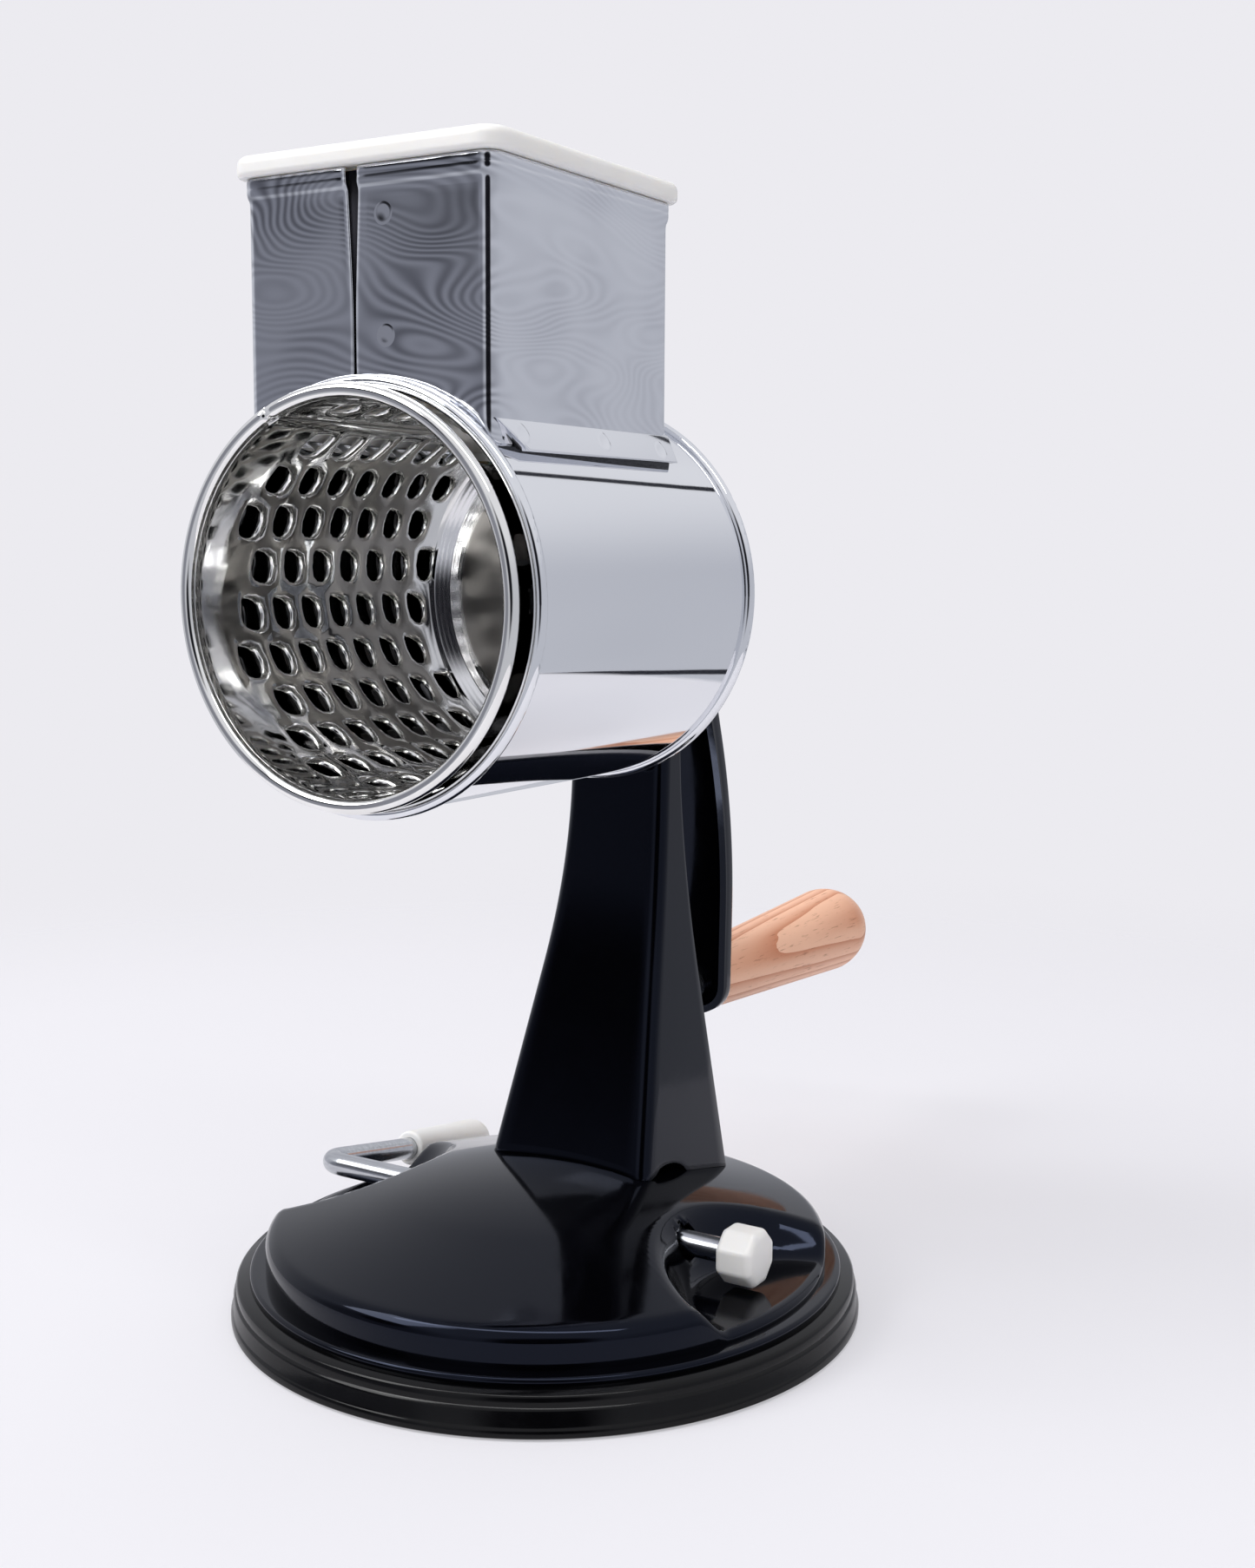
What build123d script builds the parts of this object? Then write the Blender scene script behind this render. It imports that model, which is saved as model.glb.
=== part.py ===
from build123d import *
import os
from math import asin, cos, radians, sin, sqrt, tan

os.makedirs("parts", exist_ok=True)

# Driving dimensions in millimetres. Z is up from the table, the drum axis runs along Y,
# the open mouth of the drum faces -Y, the crank is at +Y and the suction lever axle runs along X.

# Suction pad
pad_d = 116.0
pad_edge_h = 1.9
pad_tier_h = 3.1
pad_lip_h = 2.2
pad_step = 0.5
pad_rim_w = 12.0
pad_floor_t = 2.2
pad_cup_wall = 2.0
pad_cup_h = 2.0

# Pressed base shell
shell_t = 1.2
flange_d = 109.2
flange_h = 1.7
skirt_d = 103.4
skirt_h = 7.9
dome_r = 112.0
dome_cap_r = 28.0
shoulder_fillet = 3.0
pocket_mid_x = 52.0
pocket_r = 22.4
pocket_floor_z = 10.6
pocket_edge_r = 2.0

# Suction lever, cam and stem
axle_d = 4.5
axle_z = 16.5
axle_slot_rise = 1.8
axle_slot_gap = 0.8
lever_x = 54.0
lever_bend_r = 5.0
lever_droop = 10.5
lever_arm_len = 46.0
grip_start = 28.0
grip_len = 27.0
grip_neck_d = 7.2
grip_d = 9.0
cap_start_x = 38.0
cap_len = 7.0
cap_flats = 9.8
cap_sides = 8
cap_round = 1.3
cap_wall = 1.6
cam_d = 8.1
cam_throw = 1.2
cam_w = 9.0
lever_swing = 100.0
cam_pin_d = 1.6
stem_d = 6.0
yoke_t = 6.0
yoke_bar = 1.0
yoke_gap = 0.4
button_d = 18.0
button_t = 1.6
bridge_t = 1.2
bridge_w = 14.0
bridge_gap = 0.5
ear_rise = 3.0

# Column, a pressed channel open to the rear
column_t = 1.6
column_foot_z = 13.0
column_foot_half = 18.8
column_neck_half = 10.8
column_foot_front = 3.0
column_face_y = 23.5
column_bend_z = 81.0
column_neck_z = 78.0
column_rear_z = 100.0
column_foot_rear = 36.9
column_neck_depth = 6.0
column_bend_r = 140.0
column_corner_r = 2.4
column_over_axis = 26.0
notch_y = 15.5
notch_half = 5.5
notch_h = 2.0
bracket_t = 1.6
bracket_front_y = 22.0
bracket_rear_y = 34.0
bracket_top_z = 44.0
foot_rivet_x = 8.0
foot_rivet_y = 27.0

# Housing and hopper
axis_z = 131.0
housing_d = 66.8
housing_t = 0.5
housing_front_y = -51.7
housing_rear_y = 13.7
bead_d = 2.2
seam_w = 4.0
seam_t = 0.5
back_t = 0.8
back_gap = 0.05
back_rim_len = 4.0
back_flat_d = 49.0
rivet_d = 4.0
rivet_head_d = 7.0
rivet_head_t = 1.5
rivet_reach = 18.5
sheet_t = 0.6
hopper_w = 48.0
hopper_len = 52.0
hopper_front_y = -50.4
hopper_top_z = 196.8
hopper_corner_r = 2.2
hem_h = 3.4
hem_t = 0.5
band_h = 27.4
band_t = 0.6
band_cut_run = 33.6
seam_x = -2.0
seam_gap = 2.0
seam_open_h = 20.0
lap_w = 8.0

# Pusher
pusher_clear = 0.5
pusher_wall = 1.8
pusher_floor = 3.2
pusher_flange_over = 1.9
pusher_flange_t = 3.4
pusher_flange_r = 1.5
pusher_drum_gap = 1.2

# Drum
drum_d = 62.2
drum_t = 0.5
drum_front_y = -56.8
drum_rear_y = 9.5
drum_bead_d = 2.4
rear_bead_d = 1.2
tooth_rise = 0.9
hole_rows = 24
holes_per_row = 7
hole_pitch = 7.35
hole_first_y = -45.4
hole_stagger = 3
hole_w = 4.4
hole_len = 5.6
hole_round = 2.0
lap_angle = 334.7
lap_gap = 23.0
lap_ridge_w = 2.4
lap_ridge_t = 0.4
end_t = 0.6
end_gap = 0.05
end_flange_len = 3.2
end_rim_w = 2.4
end_dish = 4.6
end_boss_d = 14.0

# Shaft, bearing and crank
hex_flats = 10.0
hex_end_y = 32.5
thread_d = 6.0
thread_len = 10.5
thread_gap = 0.05
tenon_d = 8.0
tenon_head_d = 13.0
tenon_head_t = 1.6
run_gap = 0.08
end_play = 0.4
bush_wall = 0.9
bush_flange_d = 22.0
bush_flange_t = 1.5
nut_d = 15.2
nut_t = 3.0
nut_slot_w = 1.2
arm_t = 1.4
arm_hub_y = 42.6
arm_end_y = 55.6
arm_hub_depth = 4.6
arm_end_depth = 3.7
arm_hub_r = 10.0
arm_end_half = 9.0
arm_corner_r = 6.0
arm_end_reach = 5.6
arm_hub_flat = 9.0
arm_bend_z = 84.0
arm_bend_r = 100.0
arm_edge_r = 1.0
crank_r = 81.6
hub_d = 13.0
hub_tenon_d = 9.0
hub_head_d = 14.0
hub_head_t = 2.8
pin_d = 6.0
pin_rivet_d = 8.0
pin_rivet_t = 1.6
pin_head_d = 9.2
pin_head_t = 2.0
washer_d = 14.0
washer_t = 1.0
grip_gap = 0.3
handle_neck_d = 13.2
handle_d = 19.4
handle_len = 71.5
handle_round_len = 10.5
handle_recess_d = 11.0
handle_recess = 6.0

# Sizes that follow from the driving dimensions
pad_r = pad_d / 2
pad_top = pad_edge_h + pad_tier_h + pad_lip_h
skirt_r = skirt_d / 2
flange_r = flange_d / 2
shoulder_z = pad_top + skirt_h
dome_fall = asin(dome_cap_r / dome_r)
dome_rise = dome_r * (1 - cos(dome_fall)) + (skirt_r - dome_cap_r) * tan(dome_fall)
dome_top = shoulder_z + dome_rise
axle_r = axle_d / 2
hex_r = hex_flats / sqrt(3)
bush_bore_r = hex_r + run_gap
bush_r = bush_bore_r + bush_wall
housing_r = housing_d / 2
housing_in_r = housing_r - housing_t
drum_r = drum_d / 2
drum_in_r = drum_r - drum_t
handle_z = axis_z - crank_r
back_face_y = column_face_y - back_t
lever_dir = (0, cos(radians(lever_droop)), -sin(radians(lever_droop)))
cam_drop = cam_throw * sin(radians(lever_swing / 2))
cam_side = cam_throw * cos(radians(lever_swing / 2))
drum_axis = Axis((0, 0, axis_z), (0, 1, 0))
handle_axis = Axis((0, 0, handle_z), (0, 1, 0))
drum_plane = Plane((0, 0, axis_z), x_dir=(1, 0, 0), z_dir=(0, 0, 1))
handle_plane = Plane((0, 0, handle_z), x_dir=(1, 0, 0), z_dir=(0, 0, 1))
base_plane = Plane((0, 0, 0), x_dir=(0, -1, 0), z_dir=(-1, 0, 0))
pocket_end_x = pocket_mid_x - pocket_r


def facing_rear(y, z):
    return Plane((0, y, z), x_dir=(1, 0, 0), z_dir=(0, 1, 0))


def save(piece, label):
    piece.part.label = label
    export_step(piece.part, f"parts/{label}.step")


def dome_plane(x, y):
    ball_z = dome_top - dome_r
    z = ball_z + sqrt(dome_r**2 - x**2 - y**2)
    return Plane((x, y, z), z_dir=(x, y, z - ball_z))


def ring(plane, axis, inner_r, outer_r, start, end):
    with BuildPart() as body:
        with BuildSketch(plane):
            with Locations(((inner_r + outer_r) / 2, (start + end) / 2)):
                Rectangle(outer_r - inner_r, end - start)
        revolve(axis=axis)
    return body.part


# Rubber suction pad: a stepped rim that carries the shell, a thin floor and a cup for the button
rim_in_r = pad_r - pad_rim_w
cup_in_r = button_d / 2 + grip_gap
cup_out_r = cup_in_r + pad_cup_wall
tier_z = pad_edge_h + pad_tier_h
with BuildPart() as suction_pad:
    with BuildSketch(Plane.XZ):
        with BuildLine():
            Polyline(
                (0, 0),
                (pad_r, 0),
                (pad_r, pad_edge_h),
                (pad_r - pad_step, pad_edge_h),
                (pad_r - pad_step, tier_z),
                (pad_r - 2 * pad_step, tier_z),
                (pad_r - 2 * pad_step, pad_top),
                (rim_in_r, pad_top),
                (rim_in_r - pad_top + pad_floor_t, pad_floor_t),
                (cup_out_r, pad_floor_t),
                (cup_out_r, pad_floor_t + pad_cup_h),
                (cup_in_r, pad_floor_t + pad_cup_h),
                (cup_in_r, pad_floor_t),
                (0, pad_floor_t),
                close=True,
            )
        make_face()
    revolve(axis=Axis.Z)
save(suction_pad, "suction_pad")


# Base shell: a round cap on a shallow cone, an upright skirt, a rolled flange and two scooped pockets
def dome_block(inset, flange_out):
    r = skirt_r - inset
    rim_r = flange_r if flange_out else r
    ball_r = dome_r - inset
    ball_z = dome_top - dome_r
    top = dome_top - inset
    cap = (ball_r * sin(dome_fall), ball_z + ball_r * cos(dome_fall))
    mid = (ball_r * sin(dome_fall / 2), ball_z + ball_r * cos(dome_fall / 2))
    edge = cap[1] - (r - cap[0]) * tan(dome_fall)
    with BuildPart() as block:
        with BuildSketch(base_plane):
            with BuildLine():
                Line((0, pad_top), (rim_r, pad_top))
                Line((rim_r, pad_top), (rim_r, pad_top + flange_h))
                if flange_out:
                    Line((rim_r, pad_top + flange_h), (r, pad_top + flange_h))
                Line((r, pad_top + flange_h), (r, edge))
                Line((r, edge), cap)
                ThreePointArc(cap, mid, (0, top))
                Line((0, top), (0, pad_top))
            make_face()
        revolve(axis=Axis.Z)
        shoulder = block.edges().filter_by(GeomType.CIRCLE)
        shoulder = shoulder.filter_by(lambda e: abs(e.center().Z - edge) < 0.01 and e.radius > r - 0.01)
        fillet(shoulder, radius=max(shoulder_fillet - inset, shell_t / 2))
        if flange_out:
            rolled = block.edges().filter_by(GeomType.CIRCLE)
            rolled = rolled.filter_by(lambda e: abs(e.radius - flange_r) < 0.01)
            fillet(rolled, radius=flange_h * 0.45)
    return block.part


def pocket_block(grow):
    with BuildPart() as block:
        with BuildSketch(Plane.XY.offset(pocket_floor_z - grow)):
            with PolarLocations(pocket_mid_x, 2):
                Circle(pocket_r + grow)
        extrude(amount=dome_top)
    return block.part


dome_outer = dome_block(0, True)
with BuildPart() as shell_void:
    add(dome_block(shell_t, False))
    add(pocket_block(shell_t), mode=Mode.SUBTRACT)
with BuildPart() as base_shell:
    add(dome_outer)
    add(pocket_block(0), mode=Mode.SUBTRACT)
    rims = base_shell.edges().filter_by(lambda e: e.center().Z > pocket_floor_z + 1)
    rims = rims.filter_by(lambda e: abs(e.center().X) > pocket_end_x - 1)
    rims = rims.filter_by(lambda e: abs(e.tangent_at(0.5).Z) < 0.9)
    fillet(rims, radius=pocket_edge_r)
    add(shell_void.part, mode=Mode.SUBTRACT)
    slot_w = axle_d + axle_slot_gap
    for side in (1, -1):
        with BuildSketch(Plane.YZ.offset(side * (pocket_end_x - 2 * shell_t))):
            with Locations((0, axle_z + axle_slot_rise / 2)):
                SlotOverall(slot_w + axle_slot_rise, slot_w, rotation=90)
        extrude(amount=side * 4 * shell_t, mode=Mode.SUBTRACT)
        with BuildSketch(dome_plane(side * foot_rivet_x, foot_rivet_y)):
            Circle(rivet_d / 2 + thread_gap)
        extrude(amount=2 * shell_t, both=True, mode=Mode.SUBTRACT)
save(base_shell, "base_shell")

# Bridge inside the base: a strip with two upturned ears that carry the axle and a hole that guides the stem
bridge_z = pad_floor_t + grip_gap + button_t + 2 * cam_drop + bridge_gap
ear_x = pocket_end_x - shell_t - grip_gap
with BuildPart() as axle_bridge:
    with BuildSketch(Plane.XY.offset(bridge_z)):
        Rectangle(2 * ear_x, bridge_w)
    extrude(amount=bridge_t)
    for side in (1, -1):
        with BuildSketch(Plane.YZ.offset(side * ear_x)):
            with Locations((0, (bridge_z + axle_z + ear_rise) / 2)):
                Rectangle(bridge_w, axle_z + ear_rise - bridge_z)
        extrude(amount=-side * bridge_t)
    with BuildSketch(Plane.XY.offset(bridge_z)):
        Circle(stem_d / 2 + run_gap)
    extrude(amount=bridge_t, mode=Mode.SUBTRACT)
    with BuildSketch(Plane.YZ):
        with Locations((0, axle_z)):
            Circle(axle_r + run_gap)
    extrude(amount=ear_x, both=True, mode=Mode.SUBTRACT)
save(axle_bridge, "axle_bridge")

# Lever axle: one rod through the base, bent at its far end into the lever arm
bend_point = Vector(-lever_x, 0, axle_z)
arm_end = bend_point + Vector(*lever_dir) * lever_arm_len
axle_tip_x = cap_start_x + cap_len - cap_wall
with BuildPart() as lever_axle:
    with BuildLine():
        FilletPolyline((axle_tip_x, 0, axle_z), bend_point, arm_end, radius=lever_bend_r)
    with BuildSketch(Plane.YZ.offset(axle_tip_x)):
        with Locations((0, axle_z)):
            Circle(axle_r)
    sweep()
    with BuildSketch(Plane.XZ):
        with Locations((0, axle_z)):
            Circle(cam_pin_d / 2 + thread_gap)
    extrude(amount=axle_d, both=True, mode=Mode.SUBTRACT)
save(lever_axle, "lever_axle")

# Eccentric cam pinned on the axle, and its cross pin
with BuildPart() as lever_cam:
    with BuildSketch(Plane.YZ):
        with Locations((cam_side, axle_z - cam_drop)):
            Circle(cam_d / 2)
        with Locations((0, axle_z)):
            Circle(axle_r + thread_gap, mode=Mode.SUBTRACT)
    extrude(amount=cam_w / 2, both=True)
    with BuildSketch(Plane.XZ):
        with Locations((0, axle_z)):
            Circle(cam_pin_d / 2 + thread_gap)
    extrude(amount=cam_d, both=True, mode=Mode.SUBTRACT)
save(lever_cam, "lever_cam")

cam_front = cam_side - cam_d / 2 + thread_gap
cam_rear = cam_side + cam_d / 2 - thread_gap - cam_throw / 2
with BuildPart() as cam_pin:
    with BuildSketch(facing_rear(cam_front + cam_throw / 4, axle_z)):
        Circle(cam_pin_d / 2)
    extrude(amount=cam_rear - cam_front - cam_throw / 4)
save(cam_pin, "cam_pin")

# White cap on the free end of the axle, a blunt octagon with rounded edges
with BuildPart() as lever_cap:
    with BuildSketch(Plane.YZ.offset(cap_start_x)):
        with Locations((0, axle_z)):
            RegularPolygon(cap_flats / 2, cap_sides, major_radius=False, rotation=180 / cap_sides)
    extrude(amount=cap_len)
    fillet(lever_cap.edges(), radius=cap_round)
    with BuildSketch(Plane.YZ.offset(cap_start_x)):
        with Locations((0, axle_z)):
            Circle(axle_r + thread_gap)
    extrude(amount=cap_len - cap_wall, mode=Mode.SUBTRACT)
save(lever_cap, "lever_cap")

# Tapered grip on the lever arm
grip_plane = Plane(bend_point, x_dir=lever_dir, z_dir=(1, 0, 0))
grip_end = grip_start + grip_len
with BuildPart() as lever_grip:
    with BuildSketch(grip_plane):
        with BuildLine():
            Line((grip_start, 0), (grip_start, grip_neck_d / 2))
            Line((grip_start, grip_neck_d / 2), (grip_end - grip_d / 2, grip_d / 2))
            RadiusArc((grip_end - grip_d / 2, grip_d / 2), (grip_end, 0), grip_d / 2)
            Line((grip_end, 0), (grip_start, 0))
        make_face()
    revolve(axis=Axis(bend_point, lever_dir))
    mouth = lever_grip.edges().filter_by(GeomType.CIRCLE)
    mouth = mouth.filter_by(lambda e: abs(e.radius - grip_neck_d / 2) < 0.01)
    fillet(mouth, radius=cap_round / 2)
    with BuildSketch(grip_plane):
        with Locations(((grip_start + lever_arm_len) / 2, (axle_r + thread_gap) / 2)):
            Rectangle(lever_arm_len - grip_start, axle_r + thread_gap)
    revolve(axis=Axis(bend_point, lever_dir), mode=Mode.SUBTRACT)
save(lever_grip, "lever_grip")

# Stem with a yoke round the cam: turning the lever lifts it
yoke_mid = axle_z - cam_drop
yoke_half_h = cam_d / 2 + yoke_gap
yoke_half_w = cam_d / 2 + cam_throw + yoke_gap
button_z = pad_floor_t + grip_gap
with BuildPart() as stem_yoke:
    with BuildSketch(Plane.YZ):
        with Locations((0, yoke_mid)):
            Rectangle(2 * (yoke_half_w + yoke_bar), 2 * (yoke_half_h + yoke_bar))
            Rectangle(2 * yoke_half_w, 2 * yoke_half_h, mode=Mode.SUBTRACT)
    extrude(amount=yoke_t / 2, both=True)
    with BuildSketch(Plane.XY.offset(button_z)):
        Circle(stem_d / 2)
    extrude(amount=yoke_mid - yoke_half_h - yoke_bar / 2 - button_z)
save(stem_yoke, "stem_yoke")

with BuildPart() as stem_button:
    with BuildSketch(Plane.XY.offset(button_z)):
        Circle(button_d / 2)
        Circle(stem_d / 2 + thread_gap, mode=Mode.SUBTRACT)
    extrude(amount=button_t)
save(stem_button, "stem_button")


# Column: a front face and two side flanges that flare towards the foot, open at the rear
def column_form(inset, rear_grow):
    head_z = axis_z + column_over_axis - inset
    neck_half = column_neck_half - inset
    foot_half = column_foot_half - inset
    face = column_face_y + inset
    foot_front = column_foot_front + inset
    foot_rear = column_foot_rear + rear_grow
    neck_rear = column_face_y + column_neck_depth + rear_grow
    with BuildPart() as form:
        with BuildSketch(Plane.YZ) as side_view:
            with BuildLine():
                Polyline(
                    (foot_front, column_foot_z),
                    (face, column_bend_z),
                    (face, head_z),
                    (neck_rear, head_z),
                    (neck_rear, column_rear_z),
                    (foot_rear, column_foot_z),
                    close=True,
                )
            make_face()
            bends = side_view.vertices().filter_by(
                lambda v: abs(v.Z - column_bend_z) < 0.1 or abs(v.Z - column_rear_z) < 0.1
            )
            fillet(bends, radius=column_bend_r)
        extrude(amount=column_foot_half, both=True)
        with BuildSketch(Plane.XZ) as front_view:
            with BuildLine():
                Polyline(
                    (-foot_half, column_foot_z),
                    (foot_half, column_foot_z),
                    (neck_half, column_neck_z),
                    (neck_half, head_z),
                    (-neck_half, head_z),
                    (-neck_half, column_neck_z),
                    close=True,
                )
            make_face()
            neck = front_view.vertices().filter_by(lambda v: abs(v.Z - column_neck_z) < 0.1)
            fillet(neck, radius=column_bend_r)
            crown = front_view.vertices().filter_by(lambda v: abs(v.Z - head_z) < 0.1)
            fillet(crown, radius=neck_half * 0.95)
        extrude(amount=foot_rear + column_foot_rear, both=True, mode=Mode.INTERSECT)
        ahead = form.faces().filter_by(lambda f: f.normal_at().Y < -0.9)
        rims = ShapeList(e for f in ahead for e in f.edges())
        rims = rims.filter_by(lambda e: abs(e.center().X) > 1 and e.center().Z > column_foot_z + 1)
        fillet(rims, radius=column_corner_r - inset)
    return form.part


with BuildPart() as column:
    add(column_form(0, 0))
    add(column_form(column_t, column_foot_rear), mode=Mode.SUBTRACT)
    add(dome_outer, mode=Mode.SUBTRACT)
    notch_z = dome_plane(column_foot_half, notch_y).origin.Z
    with BuildSketch(Plane.YZ):
        with Locations((notch_y, notch_z)):
            Ellipse(notch_half, notch_h)
    extrude(amount=column_foot_half, both=True, mode=Mode.SUBTRACT)
    with BuildSketch(facing_rear(column_face_y, axis_z)):
        Circle(bush_r + thread_gap)
        with Locations((0, rivet_reach), (0, -rivet_reach)):
            Circle(rivet_d / 2 + thread_gap)
    extrude(amount=column_t, mode=Mode.SUBTRACT)
save(column, "column")

# Foot bracket inside the column: a plate bent to the dome and an upright wall that closes the channel
bracket_mid_y = (bracket_front_y + bracket_rear_y) / 2
bracket_len = bracket_rear_y - bracket_front_y
with BuildPart() as bracket_void:
    with BuildSketch(Plane.XY.offset(shoulder_z)):
        with Locations((0, bracket_mid_y - bracket_t)):
            Rectangle(3 * column_foot_half, bracket_len)
    extrude(amount=bracket_top_z)
    with Locations((0, 0, dome_top - dome_r)):
        Sphere(dome_r + bracket_t, mode=Mode.SUBTRACT)
with BuildPart() as foot_bracket:
    with BuildSketch(Plane.XY.offset(shoulder_z)):
        with Locations((0, bracket_mid_y)):
            Rectangle(2 * column_foot_half, bracket_len)
    extrude(amount=bracket_top_z - shoulder_z)
    add(bracket_void.part, mode=Mode.SUBTRACT)
    add(column_form(column_t + thread_gap, column_foot_rear), mode=Mode.INTERSECT)
    add(dome_outer, mode=Mode.SUBTRACT)
    for side in (1, -1):
        with BuildSketch(dome_plane(side * foot_rivet_x, foot_rivet_y)):
            Circle(rivet_d / 2 + thread_gap)
        extrude(amount=2 * bracket_t, both=True, mode=Mode.SUBTRACT)
save(foot_bracket, "foot_bracket")

# Rivets that hold the foot bracket down on the dome
with BuildPart() as foot_rivets:
    for side in (1, -1):
        seat = dome_plane(side * foot_rivet_x, foot_rivet_y)
        tail = -shell_t - 2 * thread_gap
        with BuildSketch(seat.offset(tail)):
            Circle(rivet_d / 2)
        extrude(amount=bracket_t - tail)
        with BuildSketch(seat.offset(bracket_t)):
            Circle(rivet_head_d / 2)
        extrude(amount=rivet_head_t)
        with BuildSketch(seat.offset(tail)):
            Circle(rivet_head_d / 2)
        extrude(amount=-rivet_head_t)
save(foot_rivets, "foot_rivets")

# Housing: a rolled sheet tube with a bead at each end, a folded seam below and the hopper opening above
hopper_rear_y = hopper_front_y + hopper_len
bead_mid_r = housing_r
with BuildPart() as housing:
    add(ring(drum_plane, drum_axis, housing_in_r, housing_r, housing_front_y, housing_rear_y))
    with BuildSketch(drum_plane):
        with Locations((bead_mid_r, housing_front_y), (bead_mid_r, housing_rear_y)):
            Circle(bead_d / 2)
    revolve(axis=drum_axis)
    with BuildSketch(facing_rear(housing_front_y, axis_z)):
        with Locations((0, housing_r - housing_t / 2 + seam_t / 2)):
            Rectangle(seam_w, housing_t + seam_t)
    extrude(amount=housing_rear_y - housing_front_y)
    with BuildSketch(Plane.XY.offset(axis_z)):
        with Locations((0, hopper_front_y + hopper_len / 2)):
            RectangleRounded(
                hopper_w - 2 * sheet_t, hopper_len - 2 * sheet_t, hopper_corner_r - sheet_t
            )
    extrude(amount=housing_d, mode=Mode.SUBTRACT)
save(housing, "housing")

# Dished back plate that closes the housing and seats on the column
back_rim_r = bead_mid_r - bead_d / 2 - back_gap
back_rim_y = housing_rear_y + bead_d / 2
back_flat_r = back_flat_d / 2
with BuildPart() as housing_back:
    with BuildSketch(drum_plane):
        with BuildLine():
            Polyline(
                (bush_r + thread_gap, back_face_y),
                (back_flat_r - back_t, back_face_y),
                (back_rim_r - back_t, back_rim_y - back_t),
                (back_rim_r - back_t, back_rim_y - back_rim_len),
                (back_rim_r, back_rim_y - back_rim_len),
                (back_rim_r, back_rim_y),
                (back_flat_r, column_face_y),
                (bush_r + thread_gap, column_face_y),
                close=True,
            )
        make_face()
    revolve(axis=drum_axis)
    with BuildSketch(facing_rear(back_face_y, axis_z)):
        with Locations((0, rivet_reach), (0, -rivet_reach)):
            Circle(rivet_d / 2 + thread_gap)
    extrude(amount=back_t, mode=Mode.SUBTRACT)
save(housing_back, "housing_back")

# Rivets that join the back plate to the column
rivet_tail_y = column_face_y + column_t
with BuildPart() as back_rivets:
    for reach in (rivet_reach, -rivet_reach):
        with BuildSketch(facing_rear(back_face_y - rivet_head_t, axis_z + reach)):
            Circle(rivet_head_d / 2)
        extrude(amount=rivet_head_t)
        with BuildSketch(facing_rear(back_face_y, axis_z + reach)):
            Circle(rivet_d / 2)
        extrude(amount=rivet_tail_y - back_face_y)
        with BuildSketch(facing_rear(rivet_tail_y, axis_z + reach)):
            Circle(rivet_head_d / 2)
        extrude(amount=rivet_head_t)
    ends = back_rivets.faces().filter_by(Axis.Y)
    outer = ShapeList(e for f in ends.group_by(Axis.Y)[0] + ends.group_by(Axis.Y)[-1] for e in f.edges())
    fillet(outer, radius=rivet_head_t * 0.8)
save(back_rivets, "back_rivets")

# Flanged bearing bush through the back plate and the column, and its slotted ring nut
dish_y = drum_rear_y - end_dish
bush_front_y = dish_y + end_play
bush_rear_y = hex_end_y - end_play
with BuildPart() as bearing_bush:
    add(ring(drum_plane, drum_axis, bush_bore_r, bush_r, bush_front_y, bush_rear_y))
    add(
        ring(
            drum_plane,
            drum_axis,
            bush_bore_r,
            bush_flange_d / 2,
            back_face_y - bush_flange_t,
            back_face_y,
        )
    )
save(bearing_bush, "bearing_bush")

with BuildPart() as bush_nut:
    add(ring(drum_plane, drum_axis, bush_r + thread_gap, nut_d / 2, rivet_tail_y, rivet_tail_y + nut_t))
    with BuildSketch(facing_rear(rivet_tail_y + nut_t / 2, axis_z)):
        with PolarLocations(nut_d / 2, 4, start_angle=45):
            Rectangle(nut_slot_w, nut_slot_w)
    extrude(amount=nut_t / 2, mode=Mode.SUBTRACT)
save(bush_nut, "bush_nut")

# Hopper: a bent sheet box that lands on the housing, with a hemmed rim, joggled side bands and a front lap
hopper_mid_y = hopper_front_y + hopper_len / 2
half_w = hopper_w / 2
with BuildPart() as hopper:
    with BuildSketch(Plane.XY.offset(axis_z)):
        with Locations((0, hopper_mid_y)):
            RectangleRounded(hopper_w, hopper_len, hopper_corner_r)
    extrude(amount=hopper_top_z - axis_z)
    with BuildSketch(Plane.XY.offset(hopper_top_z - hem_h)):
        with Locations((0, hopper_mid_y)):
            RectangleRounded(hopper_w + 2 * hem_t, hopper_len + 2 * hem_t, hopper_corner_r + hem_t)
    extrude(amount=hem_h)
    band_top = axis_z + band_h
    with BuildSketch(Plane.YZ.offset(-half_w - band_t)):
        with BuildLine():
            Polyline(
                (hopper_front_y + sheet_t, band_top),
                (hopper_rear_y - sheet_t, band_top),
                (hopper_rear_y - sheet_t, axis_z),
                (hopper_front_y + sheet_t + band_cut_run, axis_z),
                close=True,
            )
        make_face()
    extrude(amount=hopper_w + 2 * band_t)
    with BuildSketch(Plane.XY.offset(axis_z)):
        with Locations((0, hopper_mid_y)):
            RectangleRounded(
                hopper_w - 2 * sheet_t, hopper_len - 2 * sheet_t, hopper_corner_r - sheet_t
            )
    extrude(amount=hopper_top_z - axis_z, mode=Mode.SUBTRACT)
    with BuildSketch(facing_rear(hopper_front_y - hem_t, hopper_top_z)):
        with BuildLine():
            Polyline(
                (seam_x - seam_gap / 2, 0),
                (seam_x + seam_gap / 2, 0),
                (seam_x, seam_open_h),
                close=True,
            )
        make_face()
    extrude(amount=hem_t + sheet_t, mode=Mode.SUBTRACT)
    with BuildSketch(facing_rear(hopper_front_y + sheet_t, axis_z)):
        with Locations((seam_x - lap_w / 4, -(hopper_top_z - axis_z) / 2)):
            Rectangle(lap_w, hopper_top_z - axis_z)
    extrude(amount=sheet_t / 2)
    with BuildSketch(facing_rear(housing_front_y, axis_z)):
        Circle(housing_r)
    extrude(amount=housing_d * 2, mode=Mode.SUBTRACT)
save(hopper, "hopper")

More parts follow.
